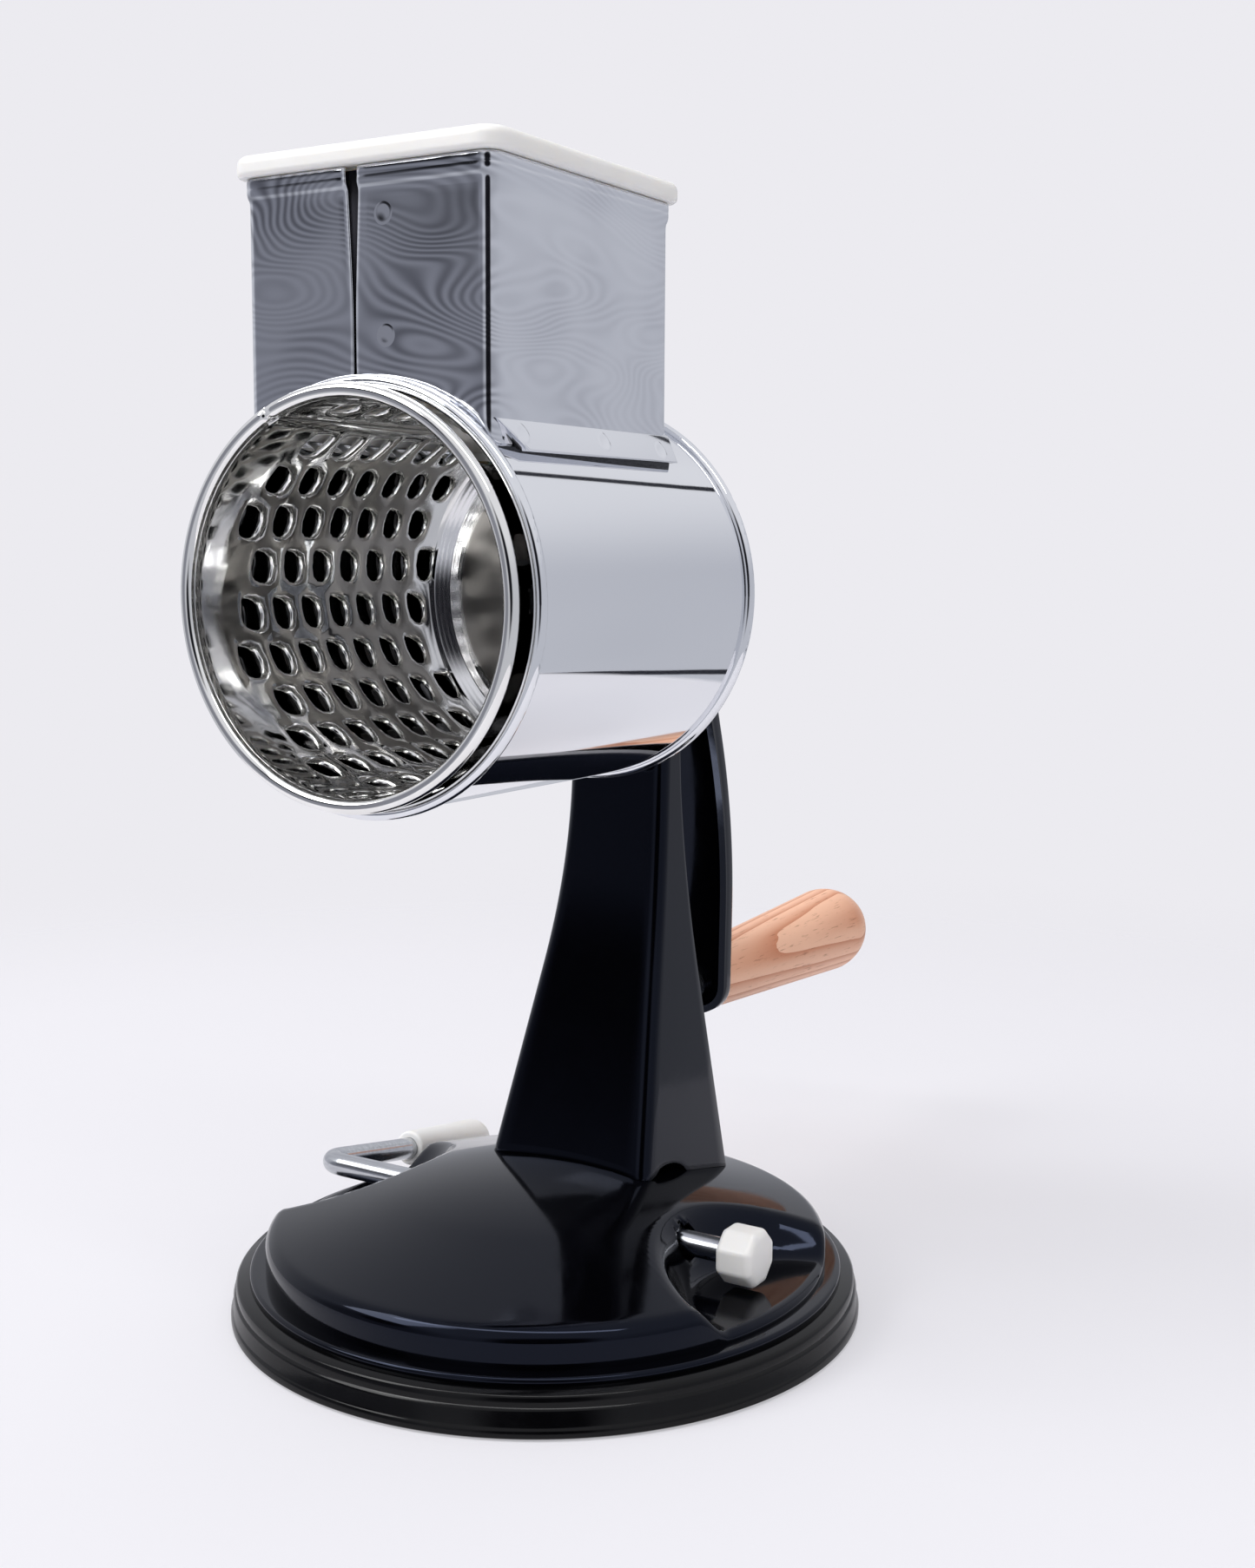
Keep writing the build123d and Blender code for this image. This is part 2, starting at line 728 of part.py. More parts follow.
# Pusher: a hollow cup that fills the hopper, with a rim that rests on it and a floor curved over the drum
pusher_w = hopper_w - 2 * (sheet_t + pusher_clear)
pusher_len = hopper_len - 2 * (sheet_t + pusher_clear) - sheet_t
pusher_mid_y = hopper_mid_y + sheet_t / 2
pusher_r = hopper_corner_r - sheet_t
floor_r = drum_r + tooth_rise + pusher_drum_gap
with BuildPart() as pusher:
    with BuildSketch(Plane.XY.offset(hopper_top_z)):
        with Locations((0, hopper_mid_y)):
            RectangleRounded(
                hopper_w + 2 * pusher_flange_over,
                hopper_len + 2 * pusher_flange_over,
                hopper_corner_r + pusher_flange_over,
            )
    extrude(amount=pusher_flange_t)
    fillet(pusher.faces().sort_by(Axis.Z)[-1].edges(), radius=pusher_flange_r)
    fillet(pusher.faces().sort_by(Axis.Z)[0].edges(), radius=pusher_flange_r / 2)
    with BuildSketch(Plane.XY.offset(hopper_top_z)):
        with Locations((0, pusher_mid_y)):
            RectangleRounded(pusher_w, pusher_len, pusher_r)
    extrude(amount=axis_z - hopper_top_z)
    with BuildSketch(facing_rear(hopper_front_y - hopper_len, axis_z)):
        Circle(floor_r)
        with Locations((0, housing_d / 2)):
            Rectangle(2 * housing_d, housing_d + 2 * (floor_r * 0.77))
    extrude(amount=3 * hopper_len, mode=Mode.SUBTRACT)
    with BuildSketch(Plane.XY.offset(axis_z + floor_r + pusher_floor)):
        with Locations((0, pusher_mid_y)):
            RectangleRounded(
                pusher_w - 2 * pusher_wall, pusher_len - 2 * pusher_wall, pusher_r - pusher_wall / 2
            )
    extrude(amount=hopper_top_z, mode=Mode.SUBTRACT)
save(pusher, "pusher")

# Drum: a thin tube with a rolled front bead, a smaller rear bead and rows of punched holes in a slow spiral
flange_start = drum_rear_y - end_flange_len
drum_bead_r = drum_in_r + drum_bead_d / 2
with BuildPart() as drum:
    add(ring(drum_plane, drum_axis, drum_in_r, drum_r, drum_front_y, drum_rear_y))
    with BuildSketch(drum_plane):
        with Locations((drum_bead_r, drum_front_y)):
            Circle(drum_bead_d / 2)
        with Locations((drum_in_r + rear_bead_d / 2, drum_rear_y - rear_bead_d / 2)):
            Circle(rear_bead_d / 2)
    revolve(axis=drum_axis)
    lap_out = (sin(radians(lap_angle)), 0, cos(radians(lap_angle)))
    lap_mid = (drum_front_y + flange_start) / 2
    lap_face = Plane((0, lap_mid, axis_z), x_dir=(0, 1, 0), z_dir=lap_out)
    with BuildSketch(lap_face.offset(drum_in_r - lap_ridge_t)):
        Rectangle(flange_start - drum_front_y, lap_ridge_w)
    extrude(amount=lap_ridge_t + drum_t / 2)
    for row in range(hole_rows):
        turn = lap_angle + lap_gap / 2 + (360 - lap_gap) / (hole_rows - 1) * row
        outward = (sin(radians(turn)), 0, cos(radians(turn)))
        row_start = hole_first_y + (row % hole_stagger) * hole_pitch / hole_stagger
        row_mid = row_start + hole_pitch * (holes_per_row - 1) / 2
        face = Plane((0, row_mid, axis_z), x_dir=(0, 1, 0), z_dir=outward)
        with BuildSketch(face.offset(drum_in_r - drum_t)):
            with GridLocations(hole_pitch, hole_len, holes_per_row, 1):
                RectangleRounded(hole_w, hole_len, hole_round)
        extrude(amount=3 * drum_t, mode=Mode.SUBTRACT)
save(drum, "drum")

# Drum end: a flanged disc pressed into the rear of the drum, dished inward round the shaft
end_r = drum_in_r - end_gap
with BuildPart() as drum_end:
    with BuildSketch(drum_plane):
        with BuildLine():
            Polyline(
                (tenon_d / 2 + thread_gap, dish_y),
                (end_boss_d / 2, dish_y),
                (end_r - end_rim_w, drum_rear_y),
                (end_r, drum_rear_y),
                (end_r, flange_start),
                (end_r - end_t, flange_start),
                (end_r - end_t, drum_rear_y - end_t),
                (end_r - end_rim_w, drum_rear_y - end_t),
                (end_boss_d / 2, dish_y - end_t),
                (tenon_d / 2 + thread_gap, dish_y - end_t),
                close=True,
            )
        make_face()
    revolve(axis=drum_axis)
save(drum_end, "drum_end")

# Drum shaft: a hexagon that turns in the bush, a threaded tail and a riveted head inside the drum
with BuildPart() as drum_shaft:
    with BuildSketch(facing_rear(dish_y, axis_z)):
        RegularPolygon(hex_flats / 2, 6, major_radius=False)
    extrude(amount=hex_end_y - dish_y)
    with BuildSketch(facing_rear(hex_end_y, axis_z)):
        Circle(thread_d / 2)
    extrude(amount=thread_len)
    chamfer(drum_shaft.faces().sort_by(Axis.Y)[-1].edges(), length=thread_d / 8)
    with BuildSketch(facing_rear(dish_y, axis_z)):
        Circle(tenon_d / 2)
    extrude(amount=-end_t - tenon_head_t)
save(drum_shaft, "drum_shaft")

with BuildPart() as shaft_washer:
    with BuildSketch(facing_rear(dish_y - end_t - tenon_head_t, axis_z)):
        Circle(tenon_head_d / 2)
        Circle(tenon_d / 2 + thread_gap, mode=Mode.SUBTRACT)
    extrude(amount=tenon_head_t)
save(shaft_washer, "shaft_washer")

# Crank hub: a threaded sleeve screwed on the shaft, riveted over the arm
arm_front_y = arm_hub_y - arm_t
thread_end_y = hex_end_y + thread_len
with BuildPart() as crank_hub:
    add(ring(drum_plane, drum_axis, thread_d / 2 + thread_gap, hub_d / 2, hex_end_y, arm_front_y))
    with BuildSketch(facing_rear(arm_front_y, axis_z)):
        Circle(hub_tenon_d / 2)
    extrude(amount=arm_t)
    with BuildSketch(facing_rear(arm_hub_y, axis_z)):
        Circle(hub_head_d / 2)
    extrude(amount=hub_head_t)
    fillet(crank_hub.faces().sort_by(Axis.Y)[-1].edges(), radius=hub_head_t * 0.85)
    with BuildSketch(facing_rear(hex_end_y, axis_z)):
        Circle(thread_d / 2 + thread_gap)
    extrude(amount=thread_len + end_play, mode=Mode.SUBTRACT)
save(crank_hub, "crank_hub")

# Crank arm: a pressed channel, straight at the hub, slanted away from the column, upright at the handle
arm_top_z = axis_z + arm_hub_r
arm_low_z = handle_z - arm_end_reach
arm_slant_z = axis_z - arm_hub_flat


def arm_form(inset, hub_rear, end_rear, hub_front, end_front):
    with BuildPart() as form:
        with BuildSketch(Plane.YZ) as side_view:
            with BuildLine():
                Polyline(
                    (hub_rear, arm_top_z),
                    (hub_rear, arm_slant_z),
                    (end_rear, arm_bend_z),
                    (end_rear, arm_low_z),
                    (end_front, arm_low_z),
                    (end_front, arm_bend_z),
                    (hub_front, arm_slant_z),
                    (hub_front, arm_top_z),
                    close=True,
                )
            make_face()
            bends = side_view.vertices().filter_by(lambda v: arm_low_z + 1 < v.Z < arm_top_z - 1)
            fillet(bends, radius=arm_bend_r)
        extrude(amount=arm_hub_r, both=True)
        with BuildSketch(Plane.XZ):
            with Locations((0, axis_z)):
                Circle(arm_hub_r - inset)
            corner_x = arm_end_half - arm_corner_r
            corner_z = arm_low_z + arm_corner_r
            with Locations((corner_x, corner_z), (-corner_x, corner_z)):
                Circle(arm_corner_r - inset)
            make_hull()
        extrude(amount=2 * end_rear, both=True, mode=Mode.INTERSECT)
    return form.part


with BuildPart() as crank_arm:
    hub_front = arm_hub_y - arm_hub_depth
    end_front = arm_end_y - arm_end_depth
    add(arm_form(0, arm_hub_y, arm_end_y, hub_front, end_front))
    behind = crank_arm.faces().filter_by(lambda f: f.normal_at().Y > 0.9)
    outline = ShapeList(e for f in behind for e in f.edges())
    outline = outline.filter_by(
        lambda e: abs(e.center().X) > 1 or e.center().Z > axis_z or e.center().Z < handle_z
    )
    fillet(outline, radius=arm_edge_r)
    add(
        arm_form(arm_t, arm_hub_y - arm_t, arm_end_y - arm_t, hub_front - arm_t, end_front - arm_t),
        mode=Mode.SUBTRACT,
    )
    with BuildSketch(facing_rear(arm_front_y, axis_z)):
        Circle(hub_tenon_d / 2 + thread_gap)
    extrude(amount=arm_t, mode=Mode.SUBTRACT)
    with BuildSketch(facing_rear(arm_end_y - arm_t, handle_z)):
        Circle(pin_d / 2 + thread_gap)
    extrude(amount=arm_t, mode=Mode.SUBTRACT)
save(crank_arm, "crank_arm")

# Handle pin riveted in the arm, its washer, and the turned wooden handle that spins on it
handle_start = arm_end_y + washer_t + grip_gap
handle_end = handle_start + handle_len
recess_y = handle_end - handle_recess
with BuildPart() as handle_pin:
    with BuildSketch(facing_rear(arm_end_y - arm_t - pin_rivet_t, handle_z)):
        Circle(pin_rivet_d / 2)
    extrude(amount=pin_rivet_t)
    with BuildSketch(facing_rear(arm_end_y - arm_t, handle_z)):
        Circle(pin_d / 2)
    extrude(amount=recess_y + grip_gap - arm_end_y + arm_t)
    with BuildSketch(facing_rear(recess_y + grip_gap, handle_z)):
        Circle(pin_head_d / 2)
    extrude(amount=pin_head_t)
    fillet(handle_pin.faces().sort_by(Axis.Y)[-1].edges(), radius=pin_head_t * 0.4)
save(handle_pin, "handle_pin")

with BuildPart() as pin_washer:
    washer_end = arm_end_y + washer_t
    add(ring(handle_plane, handle_axis, pin_d / 2 + thread_gap, washer_d / 2, arm_end_y, washer_end))
save(pin_washer, "pin_washer")

bore_r = pin_d / 2 + run_gap
wide_y = handle_end - handle_round_len
recess_r = handle_recess_d / 2
with BuildPart() as handle_grip:
    with BuildSketch(handle_plane):
        with BuildLine():
            Line((bore_r, handle_start), (handle_neck_d / 2, handle_start))
            Line((handle_neck_d / 2, handle_start), (handle_d / 2, wide_y))
            TangentArc((handle_d / 2, wide_y), (recess_r, handle_end), tangent=(0, 1))
            Line((recess_r, handle_end), (recess_r, recess_y))
            Line((recess_r, recess_y), (bore_r, recess_y))
            Line((bore_r, recess_y), (bore_r, handle_start))
        make_face()
    revolve(axis=handle_axis)
    neck = handle_grip.edges().filter_by(lambda e: abs(e.center().Y - handle_start) < 0.01)
    fillet(neck.sort_by(SortBy.LENGTH)[-1], radius=1.0)
save(handle_grip, "handle_grip")
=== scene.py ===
import math

import bmesh
import bpy
from mathutils import Matrix, Vector


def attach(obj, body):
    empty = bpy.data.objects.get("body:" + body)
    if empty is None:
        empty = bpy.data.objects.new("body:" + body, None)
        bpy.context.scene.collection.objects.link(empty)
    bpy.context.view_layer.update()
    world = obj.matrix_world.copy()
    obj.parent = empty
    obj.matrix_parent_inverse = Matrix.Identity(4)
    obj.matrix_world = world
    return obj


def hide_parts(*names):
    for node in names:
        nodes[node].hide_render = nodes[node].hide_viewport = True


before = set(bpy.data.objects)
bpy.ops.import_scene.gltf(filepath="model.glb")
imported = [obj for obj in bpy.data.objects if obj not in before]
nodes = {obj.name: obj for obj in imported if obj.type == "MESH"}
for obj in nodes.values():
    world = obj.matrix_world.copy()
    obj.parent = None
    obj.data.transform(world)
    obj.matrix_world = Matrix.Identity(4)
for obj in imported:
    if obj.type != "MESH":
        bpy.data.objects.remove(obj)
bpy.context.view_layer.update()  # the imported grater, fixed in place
scene = bpy.context.scene
mm = 0.001
fullTurn = 2 * math.pi
axisHeight = 131.0  # height of the drum axis over the table
print("frame loaded,", len(nodes), "nodes")


def linear(hexColour):
    channels = [int(hexColour[i:i + 2], 16) / 255 for i in (1, 3, 5)]
    return [c / 12.92 if c <= 0.04045 else ((c + 0.055) / 1.055) ** 2.4 for c in channels] + [1.0]


def perMm(size):
    return 1 / (size * mm)  # texture scale for a pattern of that size in millimetres


def addNode(tree, kind, settings=None, links=None):
    node = tree.nodes.new(kind)
    for key, value in (settings or {}).items():
        if isinstance(key, int) or key in node.inputs:
            node.inputs[key].default_value = value
        else:
            setattr(node, key, value)
    for key, (source, output) in (links or {}).items():
        tree.links.new(source.outputs[output], node.inputs[key])
    return node


def startMaterial(name, settings):
    material = bpy.data.materials.new(name)
    material.use_nodes = True
    tree = material.node_tree
    surface = tree.nodes["Principled BSDF"]
    for key, value in settings.items():
        surface.inputs[key].default_value = value
    return material, tree, surface, addNode(tree, "ShaderNodeTexCoord")


def dress(tree, surface, links):
    for key, (source, output) in links.items():
        tree.links.new(source.outputs[output], surface.inputs[key])


# Stove enamel over pressed steel: deep black, wet gloss, faint orange peel that bends the reflections
enamelLook = {
    "colour": "#030305", "sheen": "#b4c2ea", "ior": 1.52, "shine": 0.27, "gloss": 0.05, "handled": 0.13,
    "peel": 3.2, "peelDepth": 0.012, "peelStrength": 0.22, "dust": 9.0, "dustBand": (0.35, 0.75),
}


def makeEnamel():
    look = enamelLook
    material, tree, surface, coords = startMaterial("stoveEnamel", {
        "Base Color": linear(look["colour"]), "IOR": look["ior"], "Specular IOR Level": look["shine"],
        "Specular Tint": linear(look["sheen"])})
    peel = addNode(tree, "ShaderNodeTexNoise", {"Scale": perMm(look["peel"]), "Detail": 1.0},
                   {"Vector": (coords, "Object")})
    bump = addNode(tree, "ShaderNodeBump",
                   {"Strength": look["peelStrength"], "Distance": look["peelDepth"] * mm},
                   {"Height": (peel, "Fac")})
    dust = addNode(tree, "ShaderNodeTexNoise",
                   {"Scale": perMm(look["dust"]), "Detail": 4.0, "Roughness": 0.7},
                   {"Vector": (coords, "Object")})
    clean, dusty = look["dustBand"]
    rough = addNode(tree, "ShaderNodeMapRange",
                    {"From Min": clean, "From Max": dusty,
                     "To Min": look["gloss"], "To Max": look["handled"]},
                    {"Value": (dust, "Fac")})
    dress(tree, surface, {"Normal": (bump, "Normal"), "Roughness": (rough, "Result")})
    return material


# Bright tinned sheet: mirror-like, slightly wavy from rolling, so reflections show fine wood-grain ripples
tinLooks = {
    "rolledTubeTin": {
        "light": "#eff0f3", "dark": "#dfe1e6", "wave": (16.0, 90.0, 16.0), "waveDepth": 0.07,
        "ripple": (60.0, 30.0, 60.0), "lines": 60.0, "rippleDepth": 0.0006, "gloss": (0.035, 0.063),
        # the inner-face colour and turn below paint shade on the tube's face turned to the drum
        "inside": "#4d4d4e", "insideTurn": -0.6},
    "foldedHopperTin": {
        "light": "#eceef2", "dark": "#d3d5dc", "wave": (22.0, 22.0, 18.0), "waveDepth": 0.13,
        "ripple": (42.0, 42.0, 15.0), "lines": 210.0, "rippleDepth": 0.0016, "gloss": (0.045, 0.081),
        # the ripple colour and tones below paint dark reflections into the sheet, more on the front face than
        # the sides
        "hollow": "#4d4e57", "paintedDarkSide": 0.14, "paintedDarkFront": 0.6, "paintedDarkBand": (0.38, 0.66), "paintedDarkLeast": 0.25},
    "punchedDrumTin": {
        "light": "#f8f8f7", "dark": "#e9e8e5", "wave": (9.0, 7.0, 9.0), "waveDepth": 0.08,
        "ripple": (20.0, 20.0, 20.0), "lines": 40.0, "rippleDepth": 0.001, "gloss": (0.04, 0.072)},
}
waveBand = (0.3, 0.7)  # most of the wave pattern lies in here
offAxis = {"Location": (0, 0, -axisHeight * mm), "Scale": (1, 0, 1)}  # measures square to the drum axis


def makeTinplate(name):
    look = tinLooks[name]
    material, tree, surface, coords = startMaterial(name, {"Metallic": 1.0})
    waves = addNode(tree, "ShaderNodeMapping", {"Scale": [perMm(v) for v in look["wave"]]},
                    {"Vector": (coords, "Object")})
    wave = addNode(tree, "ShaderNodeTexNoise", {"Scale": 1.0, "Detail": 1.0, "Distortion": 0.4},
                   {"Vector": (waves, "Vector")})
    coarse = addNode(tree, "ShaderNodeBump", {"Strength": 1.0, "Distance": look["waveDepth"] * mm},
                     {"Height": (wave, "Fac")})
    stretch = addNode(tree, "ShaderNodeMapping", {"Scale": [perMm(v) for v in look["ripple"]]},
                      {"Vector": (coords, "Object")})
    slow = addNode(tree, "ShaderNodeTexNoise", {"Scale": 1.0, "Detail": 1.0, "Roughness": 0.3},
                   {"Vector": (stretch, "Vector")})
    lines = addNode(tree, "ShaderNodeMath", {"operation": "MULTIPLY", 1: look["lines"]}, {0: (slow, "Fac")})
    ripple = addNode(tree, "ShaderNodeMath", {"operation": "SINE"}, {0: (lines, "Value")})
    fine = addNode(tree, "ShaderNodeBump", {"Strength": 1.0, "Distance": look["rippleDepth"] * mm},
                   {"Height": (ripple, "Value"), "Normal": (coarse, "Normal")})
    tone = addNode(tree, "ShaderNodeMix",
                   {"data_type": "RGBA", 6: linear(look["light"]), 7: linear(look["dark"])},
                   {0: (wave, "Fac")})
    if "hollow" in look:  # painted dark reflections in the hollows of the ripples, strongest on the face turned to the front
        facing = addNode(tree, "ShaderNodeSeparateXYZ", {}, {"Vector": (coords, "Normal")})
        front = addNode(tree, "ShaderNodeMath", {"operation": "MULTIPLY", 1: -1.0}, {0: (facing, "Y")})
        depth = addNode(tree, "ShaderNodeMapRange", {"To Min": look["paintedDarkSide"], "To Max": look["paintedDarkFront"]},
                        {"Value": (front, "Value")})
        hollow = addNode(tree, "ShaderNodeMapRange", {"From Min": -1.0, "From Max": 1.0},
                         {"Value": (ripple, "Value")})
        least, most = look["paintedDarkBand"]
        fade = addNode(tree, "ShaderNodeMapRange",
                       {"From Min": least, "From Max": most, "To Min": look["paintedDarkLeast"]},
                       {"Value": (wave, "Fac")})
        paintedDarkShare = addNode(tree, "ShaderNodeMath", {"operation": "MULTIPLY"},
                       {0: (hollow, "Result"), 1: (fade, "Result")})
        paintedDarkMix = addNode(tree, "ShaderNodeMath", {"operation": "MULTIPLY"},
                       {0: (depth, "Result"), 1: (paintedDarkShare, "Value")})
        tone = addNode(tree, "ShaderNodeMix", {"data_type": "RGBA", 7: linear(look["hollow"])},
                       {0: (paintedDarkMix, "Value"), 6: (tone, 2)})
    if "inside" in look:  # the face turned to the drum is painted dark, as painted shade seen through the drum's holes
        offset = addNode(tree, "ShaderNodeMapping", offAxis, {"Vector": (coords, "Object")})
        away = addNode(tree, "ShaderNodeVectorMath", {"operation": "NORMALIZE"}, {0: (offset, "Vector")})
        outward = addNode(tree, "ShaderNodeVectorMath", {"operation": "DOT_PRODUCT"},
                          {0: (away, "Vector"), 1: (coords, "Normal")})
        inner = addNode(tree, "ShaderNodeMath", {"operation": "LESS_THAN", 1: look["insideTurn"]},
                        {0: (outward, "Value")})
        tone = addNode(tree, "ShaderNodeMix", {"data_type": "RGBA", 7: linear(look["inside"])},
                       {0: (inner, "Value"), 6: (tone, 2)})
    bright, dim = look["gloss"]
    rough = addNode(tree, "ShaderNodeMapRange",
                    {"From Min": waveBand[0], "From Max": waveBand[1], "To Min": bright, "To Max": dim},
                    {"Value": (wave, "Fac")})
    dress(tree, surface, {"Base Color": (tone, 2), "Roughness": (rough, "Result"),
                          "Normal": (fine, "Normal")})
    return material


# Pressed end plate: glossier rim painted brighter as a painted highlight, rougher middle painted darker as
# painted shade, with turning rings drawn 1 mm apart so that they show
endLook = {
    "middle": "#a8a5a2", "rim": "#f3f3f4", "paintedHighlightStart": 24.5, "paintedHighlightFull": 26.0,
    "middleGloss": 0.34, "rimGloss": 0.1, "ring": 0.16, "ringStrength": 0.6, "ringDepth": 0.006,
}


def makeEndTin():
    look = endLook
    material, tree, surface, coords = startMaterial("pressedEndTin", {"Metallic": 1.0})
    offset = addNode(tree, "ShaderNodeMapping", offAxis, {"Vector": (coords, "Object")})
    radius = addNode(tree, "ShaderNodeVectorMath", {"operation": "LENGTH"}, {0: (offset, "Vector")})
    rim = addNode(tree, "ShaderNodeMapRange",
                  {"From Min": look["paintedHighlightStart"] * mm, "From Max": look["paintedHighlightFull"] * mm},
                  {"Value": (radius, "Value")})
    # darker middle colour is painted shade, bright rim colour is a painted highlight
    tone = addNode(tree, "ShaderNodeMix",
                   {"data_type": "RGBA", 6: linear(look["middle"]), 7: linear(look["rim"])},
                   {0: (rim, "Result")})
    rough = addNode(tree, "ShaderNodeMapRange", {"To Min": look["middleGloss"], "To Max": look["rimGloss"]},
                    {"Value": (rim, "Result")})
    turns = addNode(tree, "ShaderNodeMath", {"operation": "MULTIPLY", 1: perMm(look["ring"])},
                    {0: (radius, "Value")})
    groove = addNode(tree, "ShaderNodeMath", {"operation": "SINE"}, {0: (turns, "Value")})
    bump = addNode(tree, "ShaderNodeBump",
                   {"Strength": look["ringStrength"], "Distance": look["ringDepth"] * mm},
                   {"Height": (groove, "Value")})
    dress(tree, surface, {"Base Color": (tone, 2), "Roughness": (rough, "Result"),
                          "Normal": (bump, "Normal")})
    return material


# Finishes made of plain patterns, each with its size in millimetres along x, y and z, its detail and its
# roughness: the first pattern sets the tone, the last one the gloss and the relief
plainLooks = {
    # Sheet seen only inside the seam: dark grey as painted shade for the gap behind the seam, rough so that
    # it shows no mirror shine
    "paintedShadeSeamSteel": {
        "base": {"Metallic": 1.0}, "tones": ("#1d1d20", "#34343a"),
        "patterns": (((3.0, 3.0, 3.0), 3.0, 0.5),), "band": (0.0, 1.0), "gloss": (0.5, 0.75)},
    # Zinc-plated steel rod and washers: grey, drawn lines along the rod, softer shine than the sheet
    "zincSteel": {
        "base": {"Metallic": 1.0}, "tones": ("#d5d7da", "#a9acb2"),
        "patterns": (((6.0, 0.5, 0.5), 3.0, 0.5),), "band": (0.0, 1.0), "gloss": (0.1, 0.3),
        "relief": (0.4, 0.01)},
    # Turned bearing bronze: warm metal, a little uneven in tone, even in shine
    "bearingBronze": {
        "base": {"Metallic": 1.0}, "tones": ("#c9a063", "#9c7440"),
        "patterns": (((1.5, 1.5, 1.5), 3.0, 0.5),), "band": (0.0, 1.0), "gloss": (0.28, 0.28)},
    # Milky polythene moulding: bright white, soft skin, light passes a few millimetres in
    "milkyPolythene": {
        "base": {"IOR": 1.5, "Subsurface Weight": 0.35, "Subsurface Radius": (1.0, 0.92, 0.8),
                 "Subsurface Scale": 2.0 * mm},
        "tones": ("#fcfbf8", "#f5f3ee"),
        "patterns": (((14.0, 14.0, 14.0), 2.0, 0.5), ((0.7, 0.7, 0.7), 2.0, 0.5)),
        "band": (0.0, 1.0), "gloss": (0.26, 0.42), "relief": (0.25, 0.02)},
    # Moulded black rubber: dark, satin, with a faint bloom of talc
    "mouldedRubber": {
        "base": {"IOR": 1.5, "Specular IOR Level": 0.22}, "tones": ("#030304", "#09090b"),
        "patterns": (((5.0, 5.0, 5.0), 5.0, 0.65),),
        "band": (0.3, 0.7), "gloss": (0.1, 0.2), "relief": (0.2, 0.03)},
}


def makePlain(name):
    look = plainLooks[name]
    material, tree, surface, coords = startMaterial(name, look["base"])
    patterns = []
    for sizes, detail, grit in look["patterns"]:
        spread = addNode(tree, "ShaderNodeMapping", {"Scale": [perMm(s) for s in sizes]},
                         {"Vector": (coords, "Object")})
        pattern = addNode(tree, "ShaderNodeTexNoise", {"Scale": 1.0, "Detail": detail, "Roughness": grit},
                          {"Vector": (spread, "Vector")})
        patterns.append(pattern)
    mottle, skin = patterns[0], patterns[-1]
    light, dark = look["tones"]
    tone = addNode(tree, "ShaderNodeMix", {"data_type": "RGBA", 6: linear(light), 7: linear(dark)},
                   {0: (mottle, "Fac")})
    start, end = look["band"]
    bright, dim = look["gloss"]
    rough = addNode(tree, "ShaderNodeMapRange",
                    {"From Min": start, "From Max": end, "To Min": bright, "To Max": dim},
                    {"Value": (skin, "Fac")})
    dress(tree, surface, {"Base Color": (tone, 2), "Roughness": (rough, "Result")})
    if "relief" in look:
        strength, depth = look["relief"]
        bump = addNode(tree, "ShaderNodeBump", {"Strength": strength, "Distance": depth * mm},
                       {"Height": (skin, "Fac")})
        dress(tree, surface, {"Normal": (bump, "Normal")})
    return material


# Turned beech: pinkish tan, growth rings cut by the taper into long points, short darker ray flecks
beechLook = {
    "light": "#f8c4a4", "dark": "#cd835d", "fleck": "#9f5b36", "ior": 1.48, "centre": (0.0, 90.0, 49.4),
    "ring": 2.6, "ringLean": 1.7, "sway": (9.0, 90.0, 9.0), "swayRings": 1.1, "lateWood": 2.2,
    "fibre": (0.45, 7.0, 0.45), "fleckStart": 0.6, "fleckFull": 0.74, "fleckShare": 0.75,
    "gloss": (0.36, 0.55), "grainStrength": 0.25, "grainDepth": 0.04,
}


